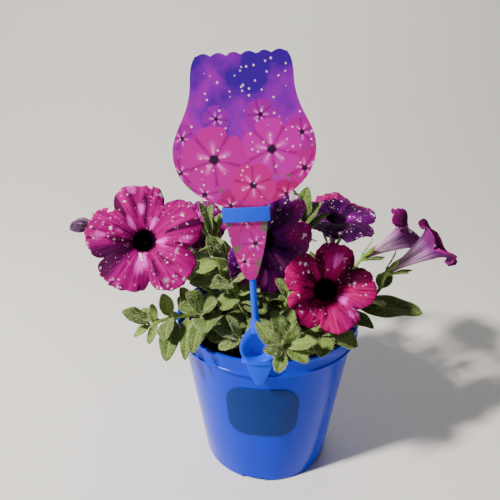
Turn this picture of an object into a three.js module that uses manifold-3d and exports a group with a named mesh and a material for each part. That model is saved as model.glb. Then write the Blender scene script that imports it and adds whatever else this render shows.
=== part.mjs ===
// Petunia growing in a standing nursery pot, with a label held on the rim by a moulded clip.
// Millimetres, +Z up. The origin is the centre of the pot's flat base; the label is at the front, -Y.
import * as THREE from 'three';
import { mergeVertices } from 'three/addons/utils/BufferGeometryUtils.js';
import Module from 'manifold-3d';

const wasm = await Module();
wasm.setup();

// ---- driving dimensions ---------------------------------------------------------------------
const GAP = 0.3; // between neighbours that touch on the real thing

const POT = {
  height: 125, rimRadius: 70, rimLip: 2.6, rimBand: 12, bandDraft: 0.6, bandStep: 3.0, rimRound: 0.8,
  baseRadius: 51, cornerRise: 2.4, cornerRun: 1.6, wall: 1.5, floor: 2.2, innerStep: 4.5, sides: 40,
  notches: 5, notchWidth: 17, notchHeight: 3.2, notchDepth: 9, firstNotch: -100,
};
const MIX = { top: 108, bump: 2.2, edgeDrop: 1, sides: 20, rings: 4, chamfer: 9, seed: 11 };
const HOLE = { depth: 12, above: 8, sides: 6 }; // a plain hole for each stem
const FOOT_RISE = 3.5; // how far a stem stays upright above the mix
const PATCH = {
  width: 52, bottom: 53, top: 99.5, corner: 14, endHalf: 0.77, arch: 2.4, thick: 0.7, turn: -92.5,
  columns: 14,
};

// The clip and its label share an upright plane that leans a little to the left.
const CLIP = { seatX: -4.8, frontY: -70, seatZ: 125.3, lean: 3.8 };
const SHELF = { half: 11.4, thick: 3, front: 3.6, back: 7.7, corner: 1 };
const TONGUE = { half: 8, shoulder: 1.5, waist: 9, drop: 15.5, tipHalf: 2, thick: 1.9, off: 0.25 };
const LEG = { half: 7, drop: 11, thick: 1.4 };
const SCOOP = {
  half: 12.8, top: 30, wall: 3, front: 3, back: 5.4, taper: 0.66, web: 1.6, slim: 0.72, sides: 18,
};
const ROD = { low: 1.7, high: 2.3, top: 102, offset: -0.4, sunk: 5, sides: 10 };
const BAR = { centre: -1.2, half: 13.3, low: 97.6, high: 105.8, depth: 5, face: 1.6, slotHalf: 11.9 };
const LABEL = {
  thick: 0.6, behind: 2.4, top: 185.5, topHalf: 22.6, shoulder: 3.5, bulgeHalf: 38.2, bulge: 136,
  straighten: 0.038, tail: 61, tailHalf: 4.2, scallops: 6, scallop: 1.4,
};

const STEM = { thick: 2, thin: 1.15, sides: 5, steps: 6, stalkSteps: 4, stalkFrom: 0.97 };
const LEAF = {
  long: 24, rows: [0.13, 0.36, 0.62, 0.87], shortRows: [0.15, 0.45, 0.82], sepalRows: [0.22, 0.62],
  ridge: 0.65, petiole: 0.9, stalk: 0.14, broad: 0.85, blunt: 0.62, wave: 0.14, golden: 2.3998,
  keepOff: 2.5, ownOff: 1.9, root: 15, sealOff: 3.2,
};
const BLOOM = {
  wall: 0.8, tube: 28, neck: 1.7, throat: 8, flare: 1.5, lobes: 5,
  rows: [[0, 10], [0.28, 10], [0.5, 10], [0.72, 30], [1, 30]], notch: 0.17, fold: 2.2, lip: 3,
};
const REACH = { stem: 3.6, sepal: 2.8, bloom: 3.7, label: 3.4, rod: 4.2, clip: 3.2 }; // kept clear of leaves
const CALYX = { seat: 3.4, sepals: 5, length: 15, width: 3.4, open: 0.3, low: 2.2 };

const COLOUR = {
  pot: 0x1f62e0, mix: 0x2a211b, patch: 0x1a4787, label: 0xf03fb4, stem: 0x7e9450,
  bloom: 0xe8108c, withered: 0x8a5a90,
};

// ---- where things grow (mm) ---------------------------------------------------------------------
// foot on the soil, two pulls and the tip of each stem; leaves: how many, the longest, from where on.
const STEMS = [
  {
    name: 'left_trail', foot: [-31, -13], pulls: [[-35, -17, 136], [-62, -38, 142]], tip: [-82, -44, 135],
    leaves: [8, 22, 0.25], broad: 0.6,
  },
  {
    name: 'left_front', foot: [-26, -26], pulls: [[-28, -28, 130], [-38, -36, 148]], tip: [-46, -45, 143],
    leaves: [8, 27, 0.3], broad: 0.66,
  },
  {
    name: 'bloom_left', foot: [-19, -3], pulls: [[-22, -4, 138], [-58, -6, 146]], tip: [-84, 4, 166],
    leaves: [8, 27, 0.25], broad: 0.58,
  },
  {
    name: 'mid_left', foot: [-20, -18], pulls: [[-20, -19, 140], [-30, -26, 150]], tip: [-34, -30, 178],
    leaves: [10, 28, 0.25], broad: 0.56,
  },
  {
    name: 'tip_left', foot: [-10, -10], pulls: [[-10, -10, 145], [-32, -12, 150]], tip: [-41, -13, 190],
    leaves: [11, 27, 0.2], broad: 0.5,
  },
  {
    name: 'back_left', foot: [-12, 12], pulls: [[-14, 14, 145], [-42, 24, 140]], tip: [-57, 33, 150],
    leaves: [6, 26, 0.3], broad: 0.58,
  },
  {
    name: 'centre', foot: [3, -6], pulls: [[3, -6, 138], [-1, 8, 142]], tip: [-6, 18, 168],
    leaves: [7, 27, 0.25], broad: 0.55,
  },
  {
    name: 'tip_right', foot: [11, 6], pulls: [[11, 6, 145], [24, 8, 165]], tip: [25, 19, 192],
    leaves: [11, 25, 0.2], broad: 0.48,
  },
  {
    name: 'front_right', foot: [19, -15], pulls: [[20, -16, 128], [34, -2, 122]], tip: [37, 4, 137],
    leaves: [7, 27, 0.25], broad: 0.6,
  },
  {
    name: 'rosette', foot: [8, -29], pulls: [[8, -31, 124], [11.5, -58, 148]], tip: [10.5, -76, 138],
    leaves: [6, 24, 0.4], broad: 0.54,
  },
  {
    name: 'inner_left', foot: [-13, -21], pulls: [[-13, -22, 140], [-22, -34, 146]], tip: [-24, -38, 166],
    leaves: [9, 24, 0.25], broad: 0.52,
  },
  {
    name: 'inner_right', foot: [7, -17], pulls: [[7, -18, 132], [12, -32, 140]], tip: [15, -36, 158],
    leaves: [8, 24, 0.3], broad: 0.54,
  },
  {
    name: 'front_left', foot: [-9, -33], pulls: [[-9, -35, 124], [-15, -46, 134]], tip: [-20, -57, 130],
    leaves: [9, 18, 0.2], broad: 0.4,
  },
  {
    name: 'right', foot: [31, -5], pulls: [[33, -6, 134], [60, -14, 118]], tip: [82, -11, 150],
    leaves: [6, 28, 0.3], broad: 0.62,
  },
  {
    name: 'right_back', foot: [26, 8], pulls: [[28, 9, 138], [50, 11, 138]], tip: [62, 9, 152],
    leaves: [7, 27, 0.3], broad: 0.58,
  },
  {
    name: 'back_right', foot: [20, 22], pulls: [[22, 24, 134], [42, 42, 124]], tip: [51, 50, 140],
    leaves: [6, 28, 0.3], broad: 0.6,
  },
  {
    name: 'back', foot: [-2, 24], pulls: [[-2, 26, 142], [2, 30, 148]], tip: [4, 38, 164],
    leaves: [5, 28, 0.25], broad: 0.58,
  },
  {
    name: 'back_low_left', foot: [-24, 22], pulls: [[-26, 25, 130], [-38, 31, 120]], tip: [-46, 37, 128],
    leaves: [6, 27, 0.3], broad: 0.6,
  },
  {
    name: 'back_low', foot: [10, 37], pulls: [[12, 40, 132], [24, 56, 150]], tip: [28, 76, 134],
    leaves: [6, 27, 0.3], broad: 0.6,
  },
  {
    name: 'right_low', foot: [29, -24], pulls: [[30, -26, 126], [32, -38, 134]], tip: [38, -47, 132],
    leaves: [6, 25, 0.25], broad: 0.64,
  },
];

// leaves that stand out on the plant, each by its stem, how far along it sits, its tip, its width and,
// where it isn't the usual one, the way its upper face looks.
const FACE_UP = [0, -0.35, 1];
const PLACED = [
  ['left_trail', 0.98, [-99, -46, 147], 12], ['left_trail', 0.97, [-91, -51, 130], 6.5],
  ['left_trail', 0.9, [-81, -52, 125], 6.5], ['left_trail', 0.94, [-80, -38, 149], 6.5],
  ['left_trail', 0.72, [-68, -60, 117], 14], ['left_trail', 0.6, [-54, -64, 121], 9],
  ['left_trail', 0.78, [-73, -34, 155], 10], ['left_trail', 0.55, [-61, -30, 158], 12],
  ['left_front', 0.86, [-55, -44, 161], 15], ['left_front', 0.98, [-33, -50, 158], 15],
  ['left_front', 0.94, [-48, -70, 131], 10],
  ['rosette', 0.97, [-6.8, -80, 162], 9, [-0.3, -1, 0.35]],
  ['rosette', 0.99, [-2.3, -84.5, 145], 7, [0, -0.8, 0.6]],
  ['rosette', 0.95, [31, -76, 146], 11], ['rosette', 0.9, [18, -74, 157], 8, [0.5, -1, 0.5]],
  ['rosette', 0.84, [3, -62, 159], 10], ['rosette', 0.8, [15, -56, 158], 11],
  ['right_low', 0.96, [35, -69, 130], 15], ['right_low', 0.8, [62, -48, 125], 17],
  ['mid_left', 0.96, [-50, -32, 172], 13], ['mid_left', 0.9, [-35, -41, 186], 11],
  ['mid_left', 0.98, [-41, -30, 197], 11], ['inner_left', 0.95, [-36, -48, 170], 13],
  ['inner_left', 0.98, [-14, -46, 175], 11], ['inner_left', 0.8, [-30, -52, 153], 13],
  ['front_left', 0.95, [-36, -56, 142], 7], ['front_left', 0.85, [-27, -53, 150], 7],
  ['front_left', 0.97, [-31, -66, 132], 8],
  ['tip_left', 0.98, [-38, -20, 216], 8], ['tip_left', 0.96, [-31, -12, 207], 9],
  ['tip_left', 0.92, [-47, -20, 217], 10],
  ['bloom_left', 0.62, [-51, -14, 169], 13], ['bloom_left', 0.5, [-43, -13, 162], 12],
  ['back_left', 0.75, [-40, 6, 168], 13], ['tip_left', 0.72, [-33, -2, 183], 10],
  ['tip_right', 0.98, [28, 15, 219], 13], ['tip_right', 0.95, [17, 11, 218], 8],
  ['tip_right', 0.9, [39, 15, 208], 11], ['tip_right', 0.86, [46, 19, 198], 7],
  ['right', 0.72, [112, -21, 136], 21], ['right', 0.66, [82, 2, 147], 15], ['right', 0.6, [76, -30, 128], 12],
];

// centre of the mouth, the way it faces, radius of the limb, how cupped, turn of the first lobe.
const BLOOMS = [
  {
    name: 'left', stem: 'bloom_left', mouth: [-84, -30, 194], faces: [0.17, -0.8, 0.57],
    radius: 39, cup: 9, turn: 22, seed: 21,
  },
  {
    name: 'left_back', stem: 'back_left', mouth: [-59, 15, 189], faces: [0.05, -0.5, 0.86],
    radius: 27.5, cup: 9, turn: 50, seed: 22,
  },
  {
    name: 'centre', stem: 'centre', mouth: [2, -14, 185], faces: [0.6, -0.8, 0.02],
    radius: 37, cup: 11, turn: 60, seed: 23,
  },
  {
    name: 'front_right', stem: 'front_right', mouth: [39.5, -45, 166], faces: [0.05, -0.86, 0.48],
    radius: 30, cup: 14, turn: 75, seed: 24,
  },
  {
    name: 'back_right', stem: 'back_right', mouth: [55, 44, 188], faces: [0.05, -0.28, 0.96],
    radius: 34, cup: 7, turn: 10, seed: 25,
  },
  {
    name: 'right_upper', stem: 'right_back', mouth: [104, 9, 186], faces: [0.8, -0.14, 0.58],
    radius: 23, cup: 11, turn: 30, seed: 26,
  },
  {
    name: 'right_lower', stem: 'right', mouth: [111, -28, 194], faces: [0.72, -0.2, 0.68],
    radius: 18.5, cup: 11, turn: 65, seed: 27,
  },
  {
    name: 'rear_left', stem: 'back_low_left', mouth: [-75, 60, 152], faces: [-0.65, 0.62, 0.44],
    radius: 37, cup: 9, turn: 15, seed: 28,
  },
  {
    name: 'rear', stem: 'back', mouth: [-6, 78, 186], faces: [0.1, 0.84, 0.52],
    radius: 38, cup: 9, turn: 40, seed: 29,
  },
];
const WITHERED = {
  stem: 'bloom_left', tip: [-137, -22, 204], faces: [-0.9, -0.25, 0.3], length: 25,
  radii: [1.3, 2, 2.6, 4.2, 5.4, 4.6, 2.2], sides: 10, sag: 5, twist: 0.9, pleatIn: 0.22, pleatOut: 0.12,
};

// ---- helpers ----------------------------------------------------------------------------------------
const V = (x, y, z) => new THREE.Vector3(x, y, z);
const vec = (list) => V(...list);
const rad = THREE.MathUtils.degToRad;
const mix = (a, b, t) => a + (b - a) * t;

function randomSource(seed) {
  let state = seed >>> 0;
  const draw = () => {
    state = (Math.imul(state, 1664525) + 1013904223) >>> 0;
    return state / 4294967296;
  };
  for (let i = 0; i < 4; i++) draw();
  return draw;
}

function geometry(points, faces) {
  const made = new THREE.BufferGeometry();
  made.setAttribute('position', new THREE.Float32BufferAttribute(points.flatMap((p) => [p.x, p.y, p.z]), 3));
  made.setIndex(faces.flat());
  return volume(made) < 0 ? turnedOut(made) : made;
}

function volume(shape) {
  const p = shape.attributes.position;
  const index = shape.index.array;
  let total = 0;
  for (let i = 0; i < index.length; i += 3) {
    const [a, b, c] = [0, 1, 2].map((k) => new THREE.Vector3().fromBufferAttribute(p, index[i + k]));
    total += a.dot(b.cross(c)) / 6;
  }
  return total;
}

function turnedOut(shape) {
  const index = Array.from(shape.index.array);
  for (let i = 0; i < index.length; i += 3) [index[i + 1], index[i + 2]] = [index[i + 2], index[i + 1]];
  shape.setIndex(index);
  return shape;
}

function fan(first, count) {
  return Array.from({ length: count - 2 }, (_, i) => [first, first + i + 1, first + i + 2]);
}

const reversed = (faces) => faces.map(([a, b, c]) => [a, c, b]);
const shifted = (faces, by) => faces.map((face) => face.map((i) => i + by));

// Faces between two rings; the second may have a whole multiple of the first one's points.
function band(a, countA, b, countB) {
  const faces = [];
  const ratio = countB / countA;
  for (let j = 0; j < countA; j++) {
    for (let i = 0; i < ratio; i++) {
      faces.push([a + j, b + ((ratio * j + i + 1) % countB), b + ratio * j + i]);
    }
    faces.push([a + j, a + ((j + 1) % countA), b + ((ratio * (j + 1)) % countB)]);
  }
  return faces;
}

function bands(rings) {
  const faces = [];
  let start = 0;
  for (let i = 0; i + 1 < rings.length; i++) {
    faces.push(...band(start, rings[i].length, start + rings[i].length, rings[i + 1].length));
    start += rings[i].length;
  }
  return faces;
}

// A solid through rings of equal count, closed at both ends.
function loft(rings) {
  const count = rings[0].length;
  const last = (rings.length - 1) * count;
  return geometry(rings.flat(), [...bands(rings), ...reversed(fan(0, count)), ...fan(last, count)]);
}

// A thin cup: the inner face is split into triangles just as the outer one is.
function cup(outer, inner) {
  const offset = outer.flat().length;
  const rim = outer.at(-1).length;
  const faces = bands(outer);
  const base = reversed(fan(0, outer[0].length));
  const outside = [...faces, ...base];
  const inside = shifted(reversed(outside), offset);
  const lip = band(offset - rim, rim, 2 * offset - rim, rim);
  return geometry([...outer.flat(), ...inner.flat()], [...outside, ...inside, ...lip]);
}

// A blade from a point in its stem to its tip: each row is [left edge, ridge above, ridge below, right edge].
function blade(root, rows, tip) {
  const points = [...rows.flat(), root, tip];
  const [start, end] = [points.length - 2, points.length - 1];
  const faces = [[start, 0, 1], [start, 1, 3], [start, 2, 0], [start, 3, 2]];
  for (let i = 0; i + 1 < rows.length; i++) {
    const [l, u, d, r, l2, u2, d2, r2] = [0, 1, 2, 3, 4, 5, 6, 7].map((k) => 4 * i + k);
    faces.push([l, l2, u], [u, l2, u2], [r, u, r2], [u, u2, r2]);
    faces.push([l, d, l2], [d, d2, l2], [r, r2, d], [d, r2, d2]);
  }
  const [l, u, d, r] = [0, 1, 2, 3].map((k) => 4 * (rows.length - 1) + k);
  faces.push([l, end, u], [u, end, r], [l, d, end], [d, r, end]);
  return geometry(points, faces);
}

function bare(shape) {
  const copy = shape.index ? shape : mergeVertices(shape);
  ['normal', 'uv'].forEach((name) => copy.deleteAttribute(name));
  return mergeVertices(copy, 1e-4);
}

function solid(shape) {
  const clean = bare(shape);
  return new wasm.Manifold(new wasm.Mesh({
    numProp: 3,
    vertProperties: Float32Array.from(clean.attributes.position.array),
    triVerts: Uint32Array.from(clean.index.array),
  }));
}

function shapeOf(body) {
  const mesh = body.getMesh();
  const shape = new THREE.BufferGeometry();
  shape.setAttribute('position', new THREE.BufferAttribute(Float32Array.from(mesh.vertProperties), 3));
  shape.setIndex(Array.from(mesh.triVerts));
  return shape;
}

const joined = (shapes) => shapeOf(shapes.map(solid).reduce((all, next) => all.add(next)));

function node(name, shape, colour, roughness) {
  const material = new THREE.MeshStandardMaterial({ color: colour, roughness, metalness: 0 });
  const mesh = new THREE.Mesh(shape, material);
  mesh.name = name;
  return mesh;
}

// ---- pot, mix and patch --------------------------------------------------------------------
const bandLow = POT.height - POT.rimBand;
const wallTopRadius = POT.rimRadius - POT.bandDraft - POT.bandStep;
const wallShare = (z) => (z - POT.cornerRise) / (bandLow - POT.cornerRise);
const wallRadius = (z) => mix(POT.baseRadius, wallTopRadius, wallShare(z));
const innerRadius = (z) => wallRadius(Math.max(z, POT.cornerRise)) - POT.wall;

function potProfile() {
  const ledge = POT.height - POT.innerStep;
  const lipRadius = POT.rimRadius - POT.rimLip;
  const points = [
    [0, 0], [POT.baseRadius - POT.cornerRun, 0], [POT.baseRadius, POT.cornerRise],
    [wallTopRadius, bandLow], [POT.rimRadius - POT.bandDraft, bandLow],
    [POT.rimRadius, POT.height - POT.rimRound], [POT.rimRadius - POT.rimRound, POT.height],
    [lipRadius, POT.height],
    [innerRadius(ledge), ledge - POT.rimRound],
    [innerRadius(POT.cornerRise), POT.cornerRise], [POT.baseRadius - POT.cornerRun - POT.wall, POT.floor],
    [0, POT.floor],
  ];
  return points.map(([r, z]) => new THREE.Vector2(r, z));
}

function upright(lathe) {
  return lathe.rotateX(Math.PI / 2);
}

function pot() {
  let body = solid(upright(new THREE.LatheGeometry(potProfile(), POT.sides)));
  for (let i = 0; i < POT.notches; i++) {
    const notch = new THREE.BoxGeometry(POT.notchDepth, POT.notchWidth, 2 * POT.notchHeight);
    notch.translate(POT.baseRadius, 0, 0).rotateZ(rad(POT.firstNotch + (i * 360) / POT.notches));
    body = body.subtract(solid(notch));
  }
  return shapeOf(body);
}

// The mix is a plug of the pot's inside with a crumbly top and a plain hole for each stem.
function pottingMix() {
  const random = randomSource(MIX.seed);
  const ring = (r, height) => Array.from({ length: MIX.sides }, (_, j) => {
    const a = (2 * Math.PI * j) / MIX.sides;
    return V(r * Math.cos(a), r * Math.sin(a), height());
  });
  const low = POT.floor + GAP;
  const edge = innerRadius(MIX.top) - GAP;
  const rings = [
    ring(innerRadius(low) - MIX.chamfer, () => low),
    ring(innerRadius(low + MIX.chamfer) - GAP, () => low + MIX.chamfer),
  ];
  for (let i = MIX.rings; i > 0; i--) {
    const height = () => MIX.top + (i < MIX.rings ? MIX.bump * (2 * random() - 1) : -MIX.edgeDrop);
    rings.push(ring((edge * i) / MIX.rings, height));
  }
  return shapeOf(STEMS.reduce((body, stem) => body.subtract(solid(stemHole(stem))), solid(loft(rings))));
}

function stemHole(stem) {
  const tall = HOLE.depth + GAP + HOLE.above;
  const reach = (STEM.thick + GAP) / Math.cos(Math.PI / HOLE.sides);
  const hole = new THREE.CylinderGeometry(reach, reach, tall, HOLE.sides);
  return hole.rotateX(Math.PI / 2).translate(...stem.foot, MIX.top + HOLE.above - tall / 2);
}

// The patch lies on the pot's tapered wall: columns of its rounded outline, wrapped round the axis.
function patch() {
  const middle = (PATCH.bottom + PATCH.top) / 2;
  const half = (PATCH.top - PATCH.bottom) / 2;
  const reach = PATCH.width / 2;
  const rings = [];
  for (let i = 0; i <= PATCH.columns; i++) {
    const x = -reach * Math.cos((Math.PI * i) / PATCH.columns);
    const past = Math.max(0, Math.abs(x) - (reach - PATCH.corner));
    const tall = half - PATCH.corner + Math.sqrt(Math.max(PATCH.endHalf ** 2, PATCH.corner ** 2 - past ** 2));
    const turn = rad(PATCH.turn) + x / wallRadius(middle);
    const centre = middle - PATCH.arch * (x / reach) ** 2; // its ends hang lower, as on any tapered wall
    const at = (z, out) => {
      const r = wallRadius(z) + out;
      return V(r * Math.cos(turn), r * Math.sin(turn), z);
    };
    rings.push([
      at(centre - tall, GAP), at(centre - tall, GAP + PATCH.thick),
      at(centre + tall, GAP + PATCH.thick), at(centre + tall, GAP),
    ]);
  }
  return loft(rings);
}

// ---- clip and label, in their own plane: X across, Z up the rod, -Y to the front -----------
function box(x0, x1, y0, y1, z0, z1) {
  const block = new THREE.BoxGeometry(x1 - x0, y1 - y0, z1 - z0);
  return block.translate((x0 + x1) / 2, (y0 + y1) / 2, (z0 + z1) / 2);
}

// The scoop's teardrop outline: broad and round below, drawn up to the rod.
function teardrop(half, low, high, y) {
  return Array.from({ length: SCOOP.sides }, (_, i) => {
    const a = (2 * Math.PI * (i + 0.5)) / SCOOP.sides;
    const up = (1 + Math.sin(a)) / 2;
    return V(half * Math.cos(a) * Math.sqrt(1 - SCOOP.slim * up * up), y, mix(low, high, up));
  });
}

// Its wall and its back are one piece: the ring goes round the outside and comes back inside.
function scoop() {
  const { half, top, wall, front, back, taper, web } = SCOOP;
  return loft([
    teardrop(half * taper, wall / 3, top - 4, back), teardrop(half, 0.2, top, -front),
    teardrop(half - wall, wall, top - 7, -front),
    teardrop((half - wall) * taper, wall * 1.2, top - 10, back - web),
  ]);
}

function shelf() {
  const { half, thick, front, back, corner } = SHELF;
  const outline = new THREE.Shape();
  outline.moveTo(-half, back);
  outline.lineTo(-half, 0);
  outline.quadraticCurveTo(corner - half, -front, 0, -front);
  outline.quadraticCurveTo(half - corner, -front, half, 0);
  outline.lineTo(half, back);
  return new THREE.ExtrudeGeometry(outline, { depth: thick, bevelEnabled: false, curveSegments: 3 });
}

// The tongue hangs down in front of the rim, drawn to a round tip.
function tongue() {
  const { half, shoulder, waist, drop, tipHalf, thick, off } = TONGUE;
  const top = SHELF.thick - 0.4;
  const outline = new THREE.Shape();
  outline.moveTo(-half, top);
  outline.lineTo(-half, -shoulder);
  outline.quadraticCurveTo(-half * 0.8, -waist, -tipHalf, -drop);
  outline.quadraticCurveTo(0, -drop - 1, tipHalf, -drop);
  outline.quadraticCurveTo(half * 0.8, -waist, half, -shoulder);
  outline.lineTo(half, top);
  const plate = new THREE.ExtrudeGeometry(outline, { depth: thick, bevelEnabled: false, curveSegments: 3 });
  return plate.rotateX(Math.PI / 2).translate(0, -GAP - off, 0);
}

function rod() {
  const tall = ROD.top - SCOOP.top + ROD.sunk;
  const shape = new THREE.CylinderGeometry(ROD.low, ROD.high, tall, ROD.sides);
  return shape.rotateX(Math.PI / 2).translate(ROD.offset, 0, ROD.top - tall / 2);
}

// The rim is level, so what grips it is turned back by the lean.
function clip() {
  const level = rad(CLIP.lean);
  const leg = box(-LEG.half, LEG.half, SHELF.back - LEG.thick, SHELF.back, -LEG.drop, SHELF.thick / 2);
  const front = -LABEL.behind - LABEL.thick;
  const { centre, half, low, high, depth, face, slotHalf } = BAR;
  const bar = box(centre - half, centre + half, front - face, front - face + depth, low, high);
  const slot = box(
    centre - slotHalf, centre + slotHalf, front - GAP, -LABEL.behind + GAP, low - 1, high + 1,
  );
  const parts = [shelf().rotateY(level), tongue().rotateY(level), leg.rotateY(level), rod(), bar];
  const whole = parts.map(solid).reduce((all, next) => all.add(next), solid(scoop()));
  return shapeOf(whole.subtract(solid(slot)));
}

// One side of the label, from its scalloped top round the bulge and through the bar to its pointed tail.
function labelSide() {
  const { top, topHalf, shoulder, bulge, bulgeHalf, tail, tailHalf } = LABEL;
  const neck = BAR.slotHalf - GAP;
  const side = new THREE.Path();
  side.moveTo(topHalf, top - 1);
  side.quadraticCurveTo(topHalf + 3, top - 4, topHalf + shoulder, top - 12);
  side.bezierCurveTo(topHalf + shoulder + 1, bulge + 19, bulgeHalf, bulge + 14, bulgeHalf, bulge);
  side.bezierCurveTo(bulgeHalf, bulge - 16, 24, BAR.high + 5, BAR.half, BAR.high + 1.4);
  side.lineTo(neck, BAR.high + 0.6);
  side.lineTo(neck, BAR.low - 1);
  side.quadraticCurveTo(neck - 1, BAR.low - 15, tailHalf, tail + 3);
  side.quadraticCurveTo(tailHalf - 1.2, tail, 0.8, tail);
  return side.getPoints(4);
}

function labelOutline() {
  const { top, topHalf, scallops, scallop, straighten } = LABEL;
  const side = labelSide();
  const crown = [];
  for (let i = 1; i < 2 * scallops; i++) {
    const x = mix(-topHalf, topHalf, i / (2 * scallops));
    crown.push(new THREE.Vector2(x, i % 2 === 1 ? top : top - scallop));
  }
  const mirrored = side.map((p) => new THREE.Vector2(-p.x, p.y)).reverse();
  const upright = (p) => new THREE.Vector2(p.x + straighten * Math.max(0, p.y - BAR.high), p.y);
  return new THREE.Shape([...crown, ...side, ...mirrored].map(upright));
}

function label() {
  const plate = new THREE.ExtrudeGeometry(labelOutline(), { depth: LABEL.thick, bevelEnabled: false });
  return plate.rotateX(Math.PI / 2).translate(BAR.centre, -LABEL.behind, 0);
}

const clipPlane = new THREE.Group();
clipPlane.position.set(CLIP.seatX, CLIP.frontY, CLIP.seatZ);
clipPlane.rotation.y = -rad(CLIP.lean);
clipPlane.updateMatrixWorld();
const onClip = (x, y, z) => V(x, y, z).applyMatrix4(clipPlane.matrixWorld);

// ---- forms of the plant ----------------------------------------------------------------------
const stemRadius = (t) => mix(STEM.thick, STEM.thin, t);

function bezier([a, b, c, d], t) {
  const s = 1 - t;
  return V(0, 0, 0).addScaledVector(a, s * s * s).addScaledVector(b, 3 * s * s * t)
    .addScaledVector(c, 3 * s * t * t).addScaledVector(d, t * t * t);
}

function heading(line, t) {
  const step = 0.01;
  return bezier(line, Math.min(1, t + step)).sub(bezier(line, Math.max(0, t - step))).normalize();
}

const stemLine = (stem) => [
  V(stem.foot[0], stem.foot[1], MIX.top + FOOT_RISE), ...stem.pulls.map(vec), vec(stem.tip),
];

// Two directions square to a stem's heading, the first one level.
function crossFrame(along) {
  const level = V(0, 0, 1).cross(along);
  if (level.length() < 0.05) level.set(1, 0, 0);
  level.normalize();
  return [level, along.clone().cross(level).normalize()];
}

function roundRing(centre, along, radius, sides) {
  const [u, v] = crossFrame(along);
  return Array.from({ length: sides }, (_, j) => {
    const a = (2 * Math.PI * j) / sides;
    return centre.clone().addScaledVector(u, radius * Math.cos(a)).addScaledVector(v, radius * Math.sin(a));
  });
}

// The rings of a round shoot along a line, its radius a function of the way along.
function shootRings(line, radius, steps, sides) {
  return Array.from({ length: steps + 1 }, (_, i) => {
    const t = i / steps;
    return roundRing(bezier(line, t), heading(line, t), radius(t), sides);
  });
}

function stemSolid(stem) {
  const foot = V(stem.foot[0], stem.foot[1], MIX.top - HOLE.depth);
  const rings = shootRings(stemLine(stem), stemRadius, STEM.steps, STEM.sides);
  return loft([roundRing(foot, V(0, 0, 1), stemRadius(0), STEM.sides), ...rings]);
}

// A leaf is an arc from its base: heading and up turn together as it droops.
function leafPoint(leaf, s, v, raise = 0) {
  const turn = leaf.droop * s;
  const bend = Math.max(leaf.droop, 1e-3);
  const centre = leaf.base.clone()
    .addScaledVector(leaf.out, (leaf.length * Math.sin(bend * s)) / bend)
    .addScaledVector(leaf.up, (-leaf.length * (1 - Math.cos(bend * s))) / bend);
  const up = leaf.up.clone().multiplyScalar(Math.cos(turn)).addScaledVector(leaf.out, Math.sin(turn));
  const across = leaf.out.clone().cross(leaf.up).normalize();
  const half = leafHalf(leaf, s);
  const wave = leaf.wave * Math.sin(leaf.phase + 9 * s + 1.3 * v);
  const lift = Math.abs(v) * half * (leaf.fold + wave) + raise;
  return centre.addScaledVector(across, v * half).addScaledVector(up, lift);
}

// Half the width along a leaf: a short stalk, broadest before the middle, drawn to a point.
function leafHalf(leaf, s) {
  const u = Math.max(0, (s - LEAF.stalk) / (1 - LEAF.stalk));
  const body = Math.sin(Math.PI * u ** LEAF.broad) ** LEAF.blunt;
  return Math.max(LEAF.petiole * (1 - s), (leaf.width / 2) * body);
}

function leafRows(leaf) {
  if (leaf.sepal) return LEAF.sepalRows;
  return leaf.length > LEAF.long ? LEAF.rows : LEAF.shortRows;
}

function leafSolid(leaf) {
  const rows = leafRows(leaf).map((s) => [
    leafPoint(leaf, s, -1), leafPoint(leaf, s, 0, LEAF.ridge),
    leafPoint(leaf, s, 0, -LEAF.ridge), leafPoint(leaf, s, 1),
  ]);
  return blade(leaf.base, rows, leafPoint(leaf, 1, 0));
}

// A bloom is a narrow tube that opens into a limb of five lobes. t runs from its foot to its edge.
function bloomShape(bloom) {
  const random = randomSource(bloom.seed);
  const draw = (spread) => Array.from({ length: BLOOM.lobes }, () => spread * (2 * random() - 1));
  return { ...bloom, tilts: draw(4), reaches: draw(0.05), folds: draw(1.2) };
}

function bloomLocal(bloom, angle, t) {
  const step = (2 * Math.PI) / BLOOM.lobes;
  const lobe = Math.round(angle / step);
  const v = (2 * (angle - lobe * step)) / step;
  const k = ((lobe % BLOOM.lobes) + BLOOM.lobes) % BLOOM.lobes;
  if (t <= 0.5) {
    const s = 2 * t;
    return [mix(BLOOM.neck, BLOOM.throat, s ** BLOOM.flare), BLOOM.tube * s];
  }
  const s = 2 * t - 1;
  const reach = 1 + bloom.reaches[k] * (1 - v * v);
  const edge = bloom.radius * reach * (1 - BLOOM.notch * Math.abs(v) ** 3);
  const radius = mix(BLOOM.throat, edge, s ** 1.2);
  const fold = (BLOOM.fold + bloom.folds[k]) * Math.cos(Math.PI * v) * s * s;
  const tilt = bloom.tilts[k] * (1 - v * v) * s * s;
  const height = BLOOM.tube + bloom.cup * (1 - (1 - s) ** 2.2) - BLOOM.lip * s ** 3 + fold + tilt;
  return [radius, height];
}

function bloomFrame(bloom) {
  const axis = vec(bloom.faces).normalize();
  const [u, v] = crossFrame(axis);
  const foot = vec(bloom.mouth).addScaledVector(axis, -(BLOOM.tube + bloom.cup - BLOOM.lip));
  return { axis, u, v, foot };
}

function bloomPoint(bloom, frame, angle, t) {
  const [radius, height] = bloomLocal(bloom, angle, t);
  const a = angle + rad(bloom.turn);
  return frame.foot.clone().addScaledVector(frame.axis, height)
    .addScaledVector(frame.u, radius * Math.cos(a)).addScaledVector(frame.v, radius * Math.sin(a));
}

function bloomNormal(bloom, frame, angle, t) {
  const d = 0.01;
  const round = bloomPoint(bloom, frame, angle + d, t).sub(bloomPoint(bloom, frame, angle - d, t));
  const t0 = Math.max(0, t - d);
  const t1 = Math.min(1, t + d);
  const along = bloomPoint(bloom, frame, angle, t1).sub(bloomPoint(bloom, frame, angle, t0));
  return along.cross(round).normalize();
}

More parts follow.
